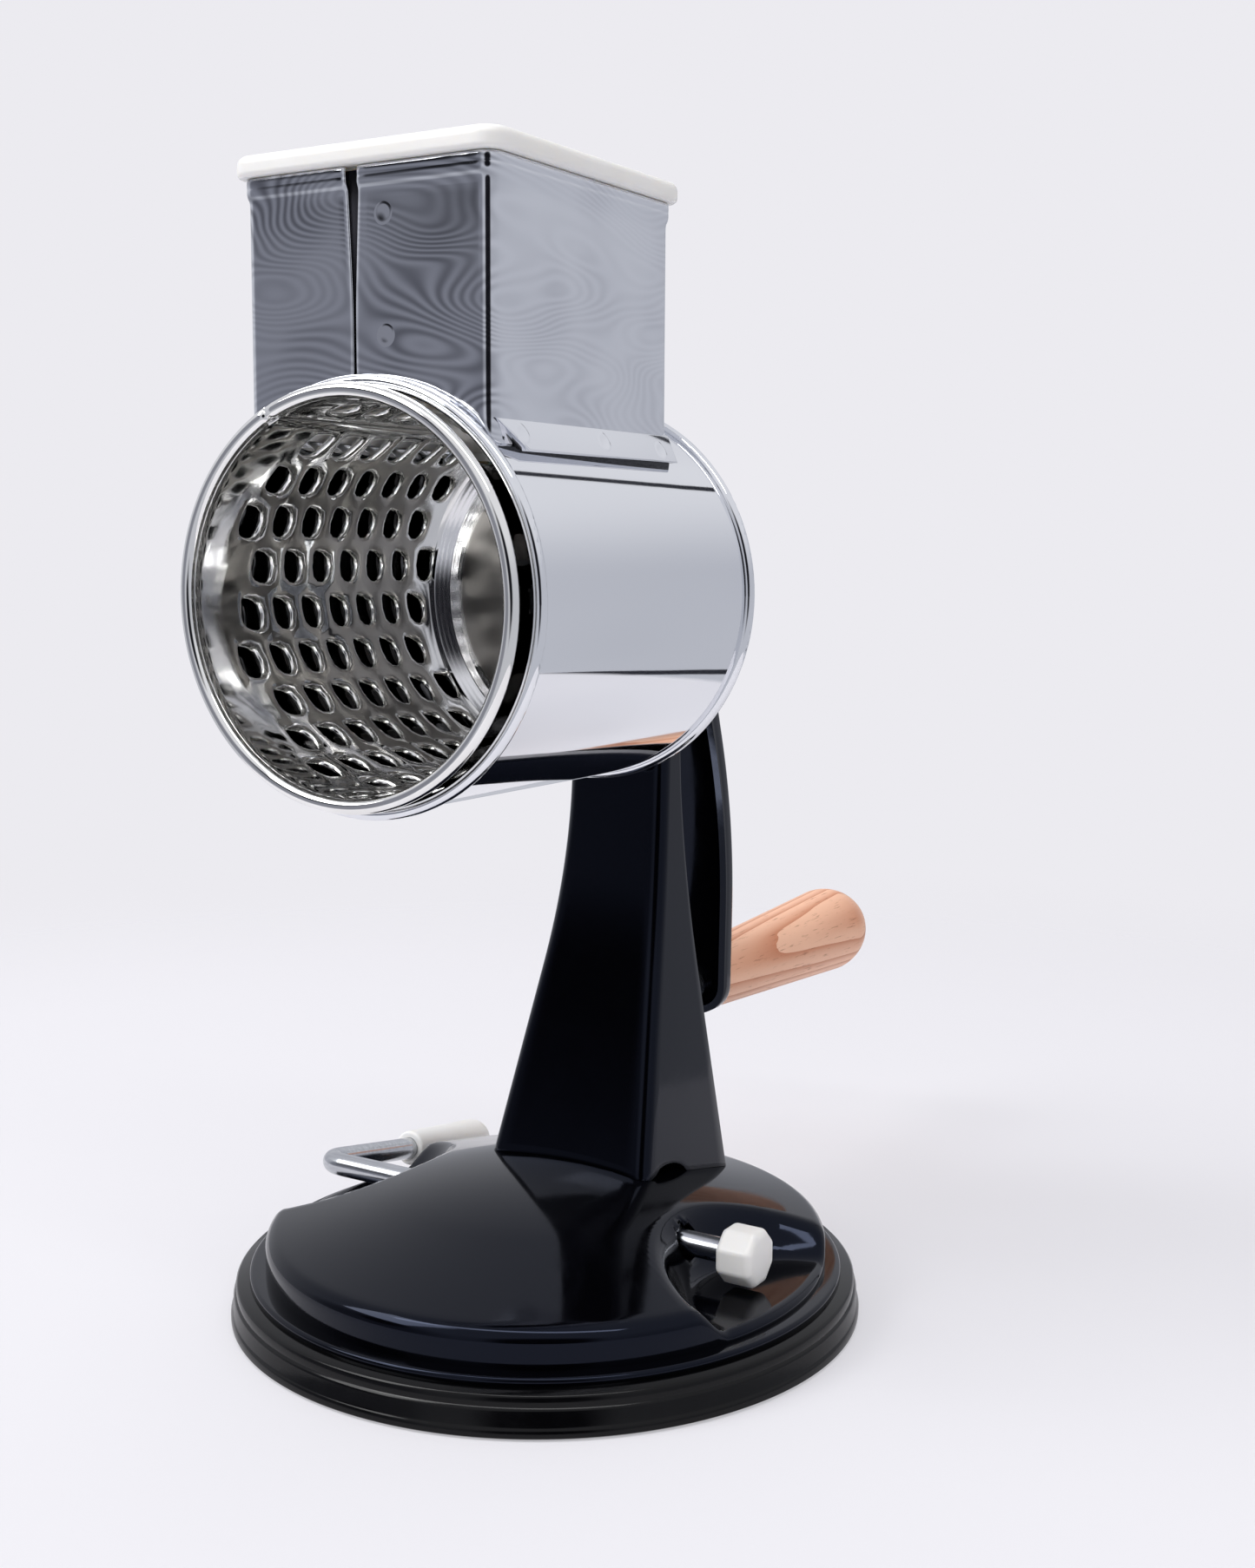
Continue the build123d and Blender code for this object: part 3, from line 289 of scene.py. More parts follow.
def makeBeech():
    look = beechLook
    material, tree, surface, coords = startMaterial("turnedBeech", {"IOR": look["ior"]})
    centre = addNode(tree, "ShaderNodeMapping", {"Location": [-c * mm for c in look["centre"]]},
                     {"Vector": (coords, "Object")})
    drift = addNode(tree, "ShaderNodeMapping", {"Scale": [perMm(v) for v in look["sway"]]},
                    {"Vector": (centre, "Vector")})
    sway = addNode(tree, "ShaderNodeTexNoise", {"Scale": 1.0, "Detail": 2.0}, {"Vector": (drift, "Vector")})
    split = addNode(tree, "ShaderNodeSeparateXYZ", {}, {"Vector": (centre, "Vector")})
    across = addNode(tree, "ShaderNodeMath", {"operation": "MULTIPLY", 1: perMm(look["ring"])},
                     {0: (split, "X")})
    lean = addNode(tree, "ShaderNodeMath",
                   {"operation": "MULTIPLY_ADD", 1: perMm(look["ring"] * look["ringLean"])},
                   {0: (split, "Z"), 2: (across, "Value")})
    wander = addNode(tree, "ShaderNodeMath", {"operation": "MULTIPLY_ADD", 1: look["swayRings"]},
                     {0: (sway, "Fac"), 2: (lean, "Value")})
    saw = addNode(tree, "ShaderNodeMath", {"operation": "FRACT"}, {0: (wander, "Value")})
    late = addNode(tree, "ShaderNodeMath", {"operation": "POWER", 1: look["lateWood"]}, {0: (saw, "Value")})
    fibres = addNode(tree, "ShaderNodeMapping", {"Scale": [perMm(v) for v in look["fibre"]]},
                     {"Vector": (centre, "Vector")})
    fibre = addNode(tree, "ShaderNodeTexNoise", {"Scale": 1.0, "Detail": 3.0, "Roughness": 0.6},
                    {"Vector": (fibres, "Vector")})
    fleck = addNode(tree, "ShaderNodeMapRange",
                    {"From Min": look["fleckStart"], "From Max": look["fleckFull"],
                     "To Max": look["fleckShare"]},
                    {"Value": (fibre, "Fac")})
    rings = addNode(tree, "ShaderNodeMix",
                    {"data_type": "RGBA", 6: linear(look["light"]), 7: linear(look["dark"])},
                    {0: (late, "Value")})
    wood = addNode(tree, "ShaderNodeMix", {"data_type": "RGBA", 7: linear(look["fleck"])},
                   {0: (fleck, "Result"), 6: (rings, 2)})
    bright, dim = look["gloss"]
    rough = addNode(tree, "ShaderNodeMapRange", {"To Min": bright, "To Max": dim}, {"Value": (fibre, "Fac")})
    bump = addNode(tree, "ShaderNodeBump",
                   {"Strength": look["grainStrength"], "Distance": look["grainDepth"] * mm},
                   {"Height": (fibre, "Fac")})
    dress(tree, surface, {"Base Color": (wood, 2), "Roughness": (rough, "Result"),
                          "Normal": (bump, "Normal")})
    return material


stoveEnamel = makeEnamel()
tubeTin = makeTinplate("rolledTubeTin")
hopperTin = makeTinplate("foldedHopperTin")
drumTin = makeTinplate("punchedDrumTin")
endTin = makeEndTin()
paintedShadeSteel = makePlain("paintedShadeSeamSteel")
zincSteel = makePlain("zincSteel")
bearingBronze = makePlain("bearingBronze")
milkyPlastic = makePlain("milkyPolythene")
mouldedRubber = makePlain("mouldedRubber")
turnedBeech = makeBeech()

nodeFinish = {
    "suction_pad": mouldedRubber, "base_shell": stoveEnamel, "axle_bridge": zincSteel, "column": stoveEnamel,
    "housing": tubeTin, "housing_back": tubeTin, "back_rivets": zincSteel, "bearing_bush": bearingBronze,
    "bush_nut": zincSteel, "hopper": hopperTin, "pusher": milkyPlastic, "drum": drumTin, "drum_end": endTin,
    "drum_shaft": zincSteel, "shaft_washer": zincSteel, "crank_hub": zincSteel, "crank_arm": stoveEnamel,
    "handle_pin": zincSteel, "pin_washer": zincSteel, "handle_grip": turnedBeech, "lever_axle": zincSteel,
    "lever_cam": zincSteel, "cam_pin": zincSteel, "lever_cap": milkyPlastic, "lever_grip": milkyPlastic,
    "stem_yoke": zincSteel, "stem_button": zincSteel, "foot_bracket": stoveEnamel, "foot_rivets": zincSteel,
}
for nodeName, finish in nodeFinish.items():
    nodes[nodeName].data.materials.clear()
    nodes[nodeName].data.materials.append(finish)
print("finishes set on", len(nodeFinish), "nodes")


def newPiece(name, bm, material, body, slot, *replaced):
    bmesh.ops.scale(bm, vec=(mm, mm, mm), verts=bm.verts)
    mesh = bpy.data.meshes.new(name)
    bm.to_mesh(mesh)
    bm.free()
    mesh.materials.append(material)
    mesh.shade_smooth()
    piece = bpy.data.objects.new(name, mesh)
    scene.collection.objects.link(piece)
    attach(piece, body)
    if replaced:
        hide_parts(*replaced)
    return piece


def giveWall(piece, thickness):
    wall = piece.modifiers.new("wall", "SOLIDIFY")
    wall.thickness, wall.offset = thickness * mm, -1


def soften(piece):
    rounding = piece.modifiers.new("soften", "SUBSURF")
    rounding.levels = rounding.render_levels = 1


def setOut(columns, rows):  # a flat blank, with the column and row of each of its points
    bm = bmesh.new()
    bmesh.ops.create_grid(bm, x_segments=columns, y_segments=rows, size=1)
    return bm, [(v, round((v.co.x + 1) / 2 * columns), round((v.co.y + 1) / 2 * rows)) for v in bm.verts]


def spinProfile(bm, points, centre, axis, steps, angle=fullTurn, closed=False):
    verts = [bm.verts.new(p) for p in points]
    edges = [bm.edges.new((verts[i - 1], verts[i])) for i in range(0 if closed else 1, len(verts))]
    bmesh.ops.spin(bm, geom=verts + edges, cent=centre, axis=axis, angle=angle, steps=steps,
                   use_merge=angle == fullTurn)


# Drum: a flat blank is punched in a slow spiral, then rolled into a tube
drumSheet = {
    "innerRadius": 30.6, "wall": 0.45, "front": -56.8, "rear": 9.5,
    "rows": 24, "perRow": 7, "pitch": 7.35, "firstHole": -45.4, "stagger": 3,
    "lapAngle": 334.7, "lapGap": 23.0, "frontColumns": 4, "rearColumns": 2,
    "holeWide": 2.85, "roundEnd": 2.45, "flatEnd": 3.4, "flatPower": 0.55, "shift": -0.6, "inset": 0.1,
    "lips": ((0.45, 0.05), (0.12, 0.3), (0.0, 0.8)),  # outline growth and rise of each ring of the lip
    "toothRise": 0.35, "toothPull": 0.5, "toothTurn": 62, "toothPower": 4, "toothFull": 0.85,
    "beadTube": 1.2, "beadSides": 16, "beadSteps": 160, "beadSlit": 0.6,
    "lapWide": 2.4, "lapThick": 0.4, "lapShort": 4, "lapEdge": 0.14,
}


def punchOutline(direction, grow):
    d = drumSheet
    wide = d["holeWide"] + grow
    c, s = math.cos(direction), math.sin(direction)
    if s < 0:
        return wide * c, d["shift"] + (d["roundEnd"] + grow) * s
    across = wide * math.copysign(abs(c) ** d["flatPower"], c)
    return across, d["shift"] + (d["flatEnd"] + grow) * s ** d["flatPower"]


def rollDrum():
    d = drumSheet
    perPitch = 2 * d["stagger"]  # blank columns in one pitch
    colStep = d["pitch"] / perPitch
    holeColumns = perPitch * d["perRow"] + 2 * (d["stagger"] - 1)
    columns = d["frontColumns"] + holeColumns + d["rearColumns"]
    strips = 2 * d["rows"] + 2
    rowStep = (360 - d["lapGap"]) / (d["rows"] - 1)
    start = d["firstHole"] - d["pitch"] / 2
    end = start + colStep * holeColumns
    turnStart = d["lapAngle"] + d["lapGap"] / 2 - rowStep / 2
    bm, blank = setOut(columns, strips)
    cells = {}
    for face in bm.faces:
        at = face.calc_center_median()
        cells[int((at.x + 1) / 2 * columns), int((at.y + 1) / 2 * strips)] = face
    for v, column, j in blank:  # x runs along the drum, y as degrees round it
        i = column - d["frontColumns"]
        along = start + colStep * i
        if i < 0:
            along = start + (d["front"] - start) * -i / d["frontColumns"]
        if i > holeColumns:
            along = end + (d["rear"] - end) * (i - holeColumns) / d["rearColumns"]
        turn = turnStart + rowStep / 2 * min(j, 2 * d["rows"])
        if j > 2 * d["rows"]:
            turn += (360 - rowStep * d["rows"]) * (j - 2 * d["rows"]) / 2
        v.co = (along, turn, 0)
    holes = []
    for row in range(d["rows"]):
        for number in range(d["perRow"]):
            first = d["frontColumns"] + 2 * (row % d["stagger"]) + perPitch * number
            group = [cells[first + i, 2 * row + j] for i in range(perPitch) for j in (0, 1)]
            hole = bmesh.ops.dissolve_faces(bm, faces=group, use_verts=True)["region"][0]
            holes.append((hole, hole.calc_center_bounds()))
    degree = math.pi / 180 * d["innerRadius"]  # millimetres round the blank for one degree
    for grow, rise in d["lips"]:
        bmesh.ops.inset_individual(bm, faces=[h for h, c in holes], thickness=d["inset"])
        for hole, centre in holes:
            for v in hole.verts:
                u = (v.co.x - centre.x) / (d["pitch"] / 2)
                w = (v.co.y - centre.y) / (rowStep / 2)
                direction = math.atan2(w, u)
                x, y = punchOutline(direction, grow)
                point = max(0.0, math.cos(direction - math.radians(d["toothTurn"]))) ** d["toothPower"]
                tooth = point * (rise / d["toothFull"]) ** 2
                y -= d["toothPull"] * tooth
                v.co = (centre.x + x, centre.y + y / degree, rise + d["toothRise"] * tooth)
    bmesh.ops.delete(bm, geom=[h for h, c in holes], context="FACES")
    for v in bm.verts:
        turn = math.radians(v.co.y)
        radius = d["innerRadius"] + v.co.z
        v.co = (radius * math.sin(turn), v.co.x, axisHeight + radius * math.cos(turn))
    bmesh.ops.remove_doubles(bm, verts=bm.verts, dist=0.01)
    bmesh.ops.recalc_face_normals(bm, faces=bm.faces)
    probe = next(iter(bm.faces))
    outward = probe.calc_center_median() - Vector((0, probe.calc_center_median().y, axisHeight))
    if probe.normal.dot(outward) > 0:
        bmesh.ops.reverse_faces(bm, faces=bm.faces)
    piece = newPiece("drumSheet", bm, drumTin, "rotor", "tinplate", "drum")
    giveWall(piece, d["wall"])
    soften(piece)


def makeDrumBead():
    d = drumSheet
    bm = bmesh.new()
    turn = math.radians(d["lapAngle"])
    points = []
    for k in range(d["beadSides"]):
        a = fullTurn * k / d["beadSides"]
        radius = d["innerRadius"] + d["beadTube"] + d["beadTube"] * math.cos(a)
        along = d["front"] + d["beadTube"] * math.sin(a)
        points.append((radius * math.sin(turn), along, axisHeight + radius * math.cos(turn)))
    sweep = math.radians(360 - d["beadSlit"])
    spinProfile(bm, points, (0, 0, axisHeight), (0, 1, 0), d["beadSteps"], sweep, closed=True)
    bmesh.ops.holes_fill(bm, edges=[e for e in bm.edges if e.is_boundary], sides=0)
    bmesh.ops.recalc_face_normals(bm, faces=bm.faces)
    newPiece("drumBead", bm, drumTin, "rotor", "tinplate")


def addDrumLap():  # where the ends of the rolled sheet overlap, on the inside
    d = drumSheet
    strip = bmesh.new()
    turn = math.radians(d["lapAngle"])
    length = d["rear"] - d["lapShort"] - d["front"]
    bmesh.ops.create_cube(strip, size=1)
    bmesh.ops.scale(strip, vec=(d["lapWide"], length, d["lapThick"]), verts=strip.verts)
    bmesh.ops.bevel(strip, geom=strip.edges[:], offset=d["lapEdge"], segments=2, profile=0.5,
                    affect="EDGES", material=-1)
    inward = d["innerRadius"] - d["lapThick"] / 2
    bmesh.ops.translate(strip, vec=(0, d["front"] + length / 2, inward), verts=strip.verts)
    bmesh.ops.rotate(strip, cent=(0, 0, 0), matrix=Matrix.Rotation(turn, 3, "Y"), verts=strip.verts)
    bmesh.ops.translate(strip, vec=(0, 0, axisHeight), verts=strip.verts)
    newPiece("drumLap", strip, drumTin, "rotor", "tinplate")


rollDrum()
makeDrumBead()
addDrumLap()
print("drum punched and rolled")

# Hopper: one sheet folded round from the front seam, hemmed at the top, set down on the tube
hopperSheet = {
    "half": 24.0, "front": -50.4, "rear": 1.6, "corner": 2.2, "top": 196.8, "seam": -2.0, "wall": 0.55,
    "tubeRadius": 33.45, "hemHeight": 3.4, "gapTop": 2.0, "gapDeep": 20.0, "gapSpread": 5, "middle": 180,
    "rise": (0, 0.08, 0.2, 0.4, 0.6, 0.8, 0.95, 0.985),  # row heights between the tube and the hem
    "hem": ((0.02, 0.1), (0.16, 0.46), (0.45, 0.5), (0.53, 0.42), (0.6, 0.5), (0.9, 0.5), (1.0, 0.32)),
    "lapWide": 8.0, "lapThick": 0.4, "lapShort": 0.6, "lapShift": 2, "lapGap": 0.02,
    "cleatTop": 158.4, "cleatLow": 153.7, "cleatHigh": 0.25, "cleatOut": 2.3, "cleatCut": 5.9,
    "cleatInset": 0.7, "cleatRoot": 0.1, "cleatEdge": 0.3, "cleatSharp": 0.9,
}
weldSpots = {
    "rings": ((0.0, 0.0), (0.9, 0.005), (1.25, 0.045), (1.55, 0.03), (1.9, -0.02)),  # radius and height
    "front": ((3.9, 189.3), (4.2, 171.2)), "side": ((-44.3, 156.3), (-21.2, 156.2), (-3.6, 155.6)),
    "steps": 24,
}


def foldPath():
    h = hopperSheet
    c, x, y0, y1 = h["corner"], h["half"], h["front"], h["rear"]
    legs = [  # start, end, outward direction and columns of each wall
        ((h["seam"], y0), (-x + c, y0), (0, -1), 8), ((-x, y0 + c), (-x, y1 - c), (-1, 0), 16),
        ((-x + c, y1), (x - c, y1), (0, 1), 14), ((x, y1 - c), (x, y0 + c), (1, 0), 16),
        ((x - c, y0), (h["seam"], y0), (0, -1), 9)]
    path = []
    for n, (a, b, normal, count) in enumerate(legs):
        a, b, normal = Vector(a), Vector(b), Vector(normal)
        path += [(a.lerp(b, k / count), normal) for k in range(count + 1)]
        if n < len(legs) - 1:  # quarter bend to the next wall
            after = Vector(legs[n + 1][2])
            hub = b - normal * c
            for k in (1, 2, 3, 4):
                bend = math.pi / 10 * k
                turned = normal * math.cos(bend) + after * math.sin(bend)
                path.append((hub + turned * c, turned))
    return path


def foldHopper():
    h = hopperSheet
    path = foldPath()
    hemLow = h["top"] - h["hemHeight"]
    rows = [(t, None) for t in h["rise"]] + list(h["hem"])
    columns = len(path) - 1
    bm, blank = setOut(columns, len(rows) - 1)
    for v, i, j in blank:
        point, normal = path[i]
        share, out = rows[j]
        low = axisHeight + math.sqrt(h["tubeRadius"] ** 2 - min(abs(point.x), h["half"]) ** 2)
        if out is None:
            z, out = low + (hemLow - low) * share, 0.0
        else:
            z = hemLow + h["hemHeight"] * share
        at = point + normal * out
        parted = max(0.0, (z - h["top"] + h["gapDeep"]) / h["gapDeep"]) * h["gapTop"] / 2
        near = 0.0
        if point.y < h["front"] + 0.1:
            near = max(0.0, 1 - abs(point.x - h["seam"]) / h["gapSpread"])
        side = -1 if i < columns / 2 else 1
        v.co = (at.x + side * parted * near, at.y, z)
    bmesh.ops.recalc_face_normals(bm, faces=bm.faces)
    frontMiddle = Vector((0, h["front"], h["middle"]))
    probe = min(bm.faces, key=lambda f: (f.calc_center_median() - frontMiddle).length)
    if probe.normal.y > 0:
        bmesh.ops.reverse_faces(bm, faces=bm.faces)
    piece = newPiece("hopperSheet", bm, hopperTin, "stand", "tinplate", "hopper")
    giveWall(piece, h["wall"])
    soften(piece)


def addLap():  # the tail of the sheet behind the front seam
    h = hopperSheet
    lap = bmesh.new()
    low = axisHeight + h["tubeRadius"]
    bmesh.ops.create_cube(lap, size=1)
    bmesh.ops.scale(lap, vec=(h["lapWide"], h["lapThick"], h["top"] - low - h["lapShort"]), verts=lap.verts)
    middle = (h["seam"] - h["lapShift"], h["front"] + h["wall"] + h["lapThick"] / 2 + h["lapGap"],
              (h["top"] + low - h["lapShort"]) / 2)
    bmesh.ops.translate(lap, vec=middle, verts=lap.verts)
    # the lap's dark finish is painted shade in the gap behind the front seam
    newPiece("hopperLap", lap, paintedShadeSteel, "stand", "tinplate")


def addCleats():  # welded strips along the tube, front lower corners cut off
    h = hopperSheet
    cleats = bmesh.new()
    start, stop = h["front"] + h["cleatInset"], h["rear"] - h["cleatInset"]
    for side in (-1, 1):
        outline = [(start, h["cleatTop"]), (stop, h["cleatTop"]),
                   (stop, h["cleatLow"]), (start + h["cleatCut"], h["cleatLow"])]
        root = side * (h["half"] - h["cleatRoot"])
        face = cleats.faces.new([cleats.verts.new((root, y, z)) for y, z in outline])
        grown = bmesh.ops.extrude_face_region(cleats, geom=[face])
        outer = [g for g in grown["geom"] if isinstance(g, bmesh.types.BMVert)]
        for v in outer:
            out = h["cleatOut"] if v.co.z < h["cleatTop"] - 1 else h["cleatHigh"]
            v.co.x += side * (h["cleatRoot"] + out)
        ridge = [e for e in cleats.edges if all(v in outer for v in e.verts)]
        bmesh.ops.bevel(cleats, geom=ridge, offset=h["cleatEdge"], segments=4, profile=0.5,
                        affect="EDGES", material=-1)
    bmesh.ops.recalc_face_normals(cleats, faces=cleats.faces)
    piece = newPiece("hopperCleats", cleats, tubeTin, "stand", "tinplate")
    piece.data.set_sharp_from_angle(angle=h["cleatSharp"])


def addWelds():
    h = hopperSheet
    spots = [(Vector((x, h["front"], z)), Vector((0, -1, 0))) for x, z in weldSpots["front"]]
    lean = (h["cleatOut"] - h["cleatHigh"]) / (h["cleatTop"] - h["cleatLow"])
    for side in (-1, 1):
        for y, z in weldSpots["side"]:
            out = h["half"] + h["cleatHigh"] + lean * (h["cleatTop"] - z)
            spots.append((Vector((side * out, y, z)), Vector((side, 0, lean)).normalized()))
    bm = bmesh.new()
    for centre, outward in spots:
        across = outward.cross(Vector((0, 0, 1))).normalized()
        dish = [centre + across * r + outward * rise for r, rise in weldSpots["rings"]]
        spinProfile(bm, dish, centre, outward, weldSpots["steps"])
    bmesh.ops.remove_doubles(bm, verts=bm.verts, dist=0.001)
    bmesh.ops.recalc_face_normals(bm, faces=bm.faces)
    for face in bm.faces:
        near = min(spots, key=lambda s: (s[0] - face.calc_center_median()).length)
        if face.normal.dot(near[1]) < 0:
            face.normal_flip()
    newPiece("hopperWelds", bm, tubeTin, "stand", "tinplate")


foldHopper()
addLap()
addCleats()
addWelds()
print("hopper folded")


# Pressings: each is one sheet, set out as a grid and bent; a bend is a parabola between two straight runs
def bent(z, bends):
    (z0, y0), (z1, y1) = bends[0][:2], bends[1][:2]
    y = y0 + (y1 - y0) / (z1 - z0) * (z - z0)
    for before, here, after in zip(bends, bends[1:], bends[2:]):
        below = (here[1] - before[1]) / (here[0] - before[0])
        above = (after[1] - here[1]) / (after[0] - here[0])
        reach = here[2]
        if z >= here[0] + reach:
            y += (above - below) * (z - here[0])
        elif z > here[0] - reach:
            y += (above - below) * (z - here[0] + reach) ** 2 / (4 * reach)
    return y


pressEdge = {"width": 0.35, "segments": 2, "angle": 50}  # rounded edge of a cut sheet


def gridPiece(name, rows, material, body, replaced, wall, hole=None):
    bm, blank = setOut(len(rows[0]) - 1, len(rows) - 1)
    for v, i, j in blank:
        v.co = rows[j][i]
    if hole:
        centre, radius = Vector(hole[:3]), hole[3]
        drilled = [f for f in bm.faces if max((v.co - centre).length for v in f.verts) < radius]
        bmesh.ops.delete(bm, geom=drilled, context="FACES")
    bmesh.ops.remove_doubles(bm, verts=bm.verts, dist=0.01)
    bmesh.ops.recalc_face_normals(bm, faces=bm.faces)
    middle = sum((v.co for v in bm.verts), Vector()) / len(bm.verts)
    outward = sum((f.normal.dot(f.calc_center_median() - middle) * f.calc_area() for f in bm.faces))
    if outward < 0:
        bmesh.ops.reverse_faces(bm, faces=bm.faces)
    piece = newPiece(name, bm, material, body, "black_enamel", replaced)
    giveWall(piece, wall)
    edge = piece.modifiers.new("edge", "BEVEL")
    edge.width, edge.segments = pressEdge["width"] * mm, pressEdge["segments"]
    edge.limit_method, edge.angle_limit = "ANGLE", math.radians(pressEdge["angle"])


# Base shell: round cap on a shallow cone, shoulder, skirt and rolled flange, a scooped pocket
# at each end of the axle
baseSheet = {
    "capTop": 24.78, "capRadius": 112.0, "capEdge": 28.0, "skirt": 51.7, "round": 3.0, "flange": 54.6,
    "flangeTop": 8.9, "flangeLow": 7.2, "roll": 0.75, "wall": 1.2, "steps": 240,
    "pocketAt": 52.0, "pocketRadius": 22.4, "pocketFloor": 10.6, "lip": 1.6, "wallIn": 4.2, "wallOut": 2.4,
    "boreHeight": 16.95, "axleBore": 3.2, "boreSpare": 0.3, "boreFrom": 27, "boreTo": 36, "sharp": 55,
    "middleRings": (0.0, 3, 7, 12, 17, 21, 24), "wallRings": (25, 0.7, 18), "outerRings": (37.6, 12),
    "roundSteps": 8, "skirtSteps": 4,
}


def domeHeight(x, y):
    b = baseSheet
    r = math.hypot(x, y)
    level = b["capTop"] - b["capRadius"]
    if r < b["capEdge"]:
        return level + math.sqrt(b["capRadius"] ** 2 - r * r)
    fall = math.asin(b["capEdge"] / b["capRadius"])
    return level + b["capRadius"] * math.cos(fall) - (r - b["capEdge"]) * math.tan(fall)


def shellProfiles():
    b = baseSheet
    fall = math.asin(b["capEdge"] / b["capRadius"])
    hubRadius = b["skirt"] - b["round"]
    hubHeight = domeHeight(b["skirt"], 0) - b["round"] * math.tan(math.pi / 4 - fall / 2)
    domeEdge = hubRadius + b["round"] * math.sin(fall)
    wallStart, step, count = b["wallRings"]
    radii = list(b["middleRings"]) + [wallStart + step * k for k in range(count)]
    outer, count = b["outerRings"]
    radii += [outer + (domeEdge - outer) * k / count for k in range(count + 1)]
    dome = [(r, domeHeight(r, 0)) for r in radii]
    for k in range(1, b["roundSteps"] + 1):
        turn = fall + (math.pi / 2 - fall) * k / b["roundSteps"]
        dome.append((hubRadius + b["round"] * math.sin(turn), hubHeight + b["round"] * math.cos(turn)))
    for k in range(1, b["skirtSteps"] + 1):
        dome.append((b["skirt"], hubHeight + (b["flangeTop"] - hubHeight) * k / b["skirtSteps"]))
    pocket = []
    for r, z in dome:
        drop = max(0.0, r - b["skirt"] + b["lip"])
        floor = b["pocketFloor"] - b["lip"] + math.sqrt(max(0.0, b["lip"] ** 2 - drop ** 2))
        if r > b["skirt"] - 0.001:
            share = (z - b["flangeTop"]) / (hubHeight - b["flangeTop"])
            floor = b["flangeTop"] + (b["pocketFloor"] - b["lip"] - b["flangeTop"]) * share
        pocket.append((r, min(z, floor)))
    rim = [(b["flange"] - b["roll"], b["flangeTop"])]
    for k in range(1, 6):
        turn = math.pi / 10 * k
        rim.append((b["flange"] - b["roll"] * (1 - math.sin(turn)),
                    b["flangeTop"] - b["roll"] * (1 - math.cos(turn))))
    rim.append((b["flange"], b["flangeLow"]))
    return dome + rim, pocket + rim


def pressBase():
    b = baseSheet
    dome, pocket = shellProfiles()

    def axleGap(v):
        return math.hypot(v.co.y, v.co.z - b["boreHeight"])

    bm, blank = setOut(b["steps"], len(dome) - 1)
    for v, i, k in blank:
        turn = math.pi * (v.co.x + 1)
        r, z = dome[k]
        x, y = r * math.cos(turn), r * math.sin(turn)
        near = math.hypot(abs(x) - b["pocketAt"], y) - b["pocketRadius"]
        t = min(1.0, max(0.0, (b["wallOut"] - near) / (b["wallOut"] + b["wallIn"])))
        v.co = (x, y, z + (pocket[k][1] - z) * t * t * (3 - 2 * t))
    bmesh.ops.remove_doubles(bm, verts=bm.verts, dist=0.005)
    walls = [f for f in bm.faces if b["boreFrom"] < abs(f.calc_center_median().x) < b["boreTo"]]
    bored = [f for f in walls if max(axleGap(v) for v in f.verts) < b["axleBore"] + b["boreSpare"]]
    bmesh.ops.delete(bm, geom=bored, context="FACES")
    for v in bm.verts:
        if b["boreFrom"] < abs(v.co.x) < b["boreTo"] and 0.01 < axleGap(v) < b["axleBore"]:
            grow = b["axleBore"] / axleGap(v)
            v.co.y *= grow
            v.co.z = b["boreHeight"] + (v.co.z - b["boreHeight"]) * grow
    bmesh.ops.recalc_face_normals(bm, faces=bm.faces)
    if max(bm.faces, key=lambda f: f.calc_center_median().z).normal.z < 0:
        bmesh.ops.reverse_faces(bm, faces=bm.faces)
    piece = newPiece("baseSheet", bm, stoveEnamel, "stand", "black_enamel", "base_shell")
    giveWall(piece, b["wall"])
    piece.data.set_sharp_from_angle(angle=math.radians(b["sharp"]))


pressBase()

# Column: front face and two flanges that flare to the foot, rounded over the head
columnSheet = {
    "half": ((13.0, 18.8), (78.0, 10.8, 20.0), (160.0, 10.8)), "head": 157.0, "crown": 10.3,
    "face": ((13.0, 3.0), (81.0, 23.5, 21.0), (160.0, 23.5)),
    "rear": ((13.0, 36.9), (100.0, 29.5, 12.0), (160.0, 29.5)),
    "corner": 2.4, "wall": 1.6, "bore": (0, 23.5, axisHeight, 8.4),
    "low": 13, "rowStep": 2, "knee": 60.0, "firstFoot": 23.0, "footGap": 0.05, "settles": 4,
    "notchAt": 15.5, "notchHalf": 5.5, "notchHigh": 2.0, "notchFrom": 15, "notchFade": 12,
    "flangeSteps": (0, 0.06, 0.11, 0.14, 0.17, 0.2, 0.24, 0.28, 0.32, 0.36, 0.4, 0.44, 0.48, 0.56, 0.66, 0.78,
                    0.9, 1),
}


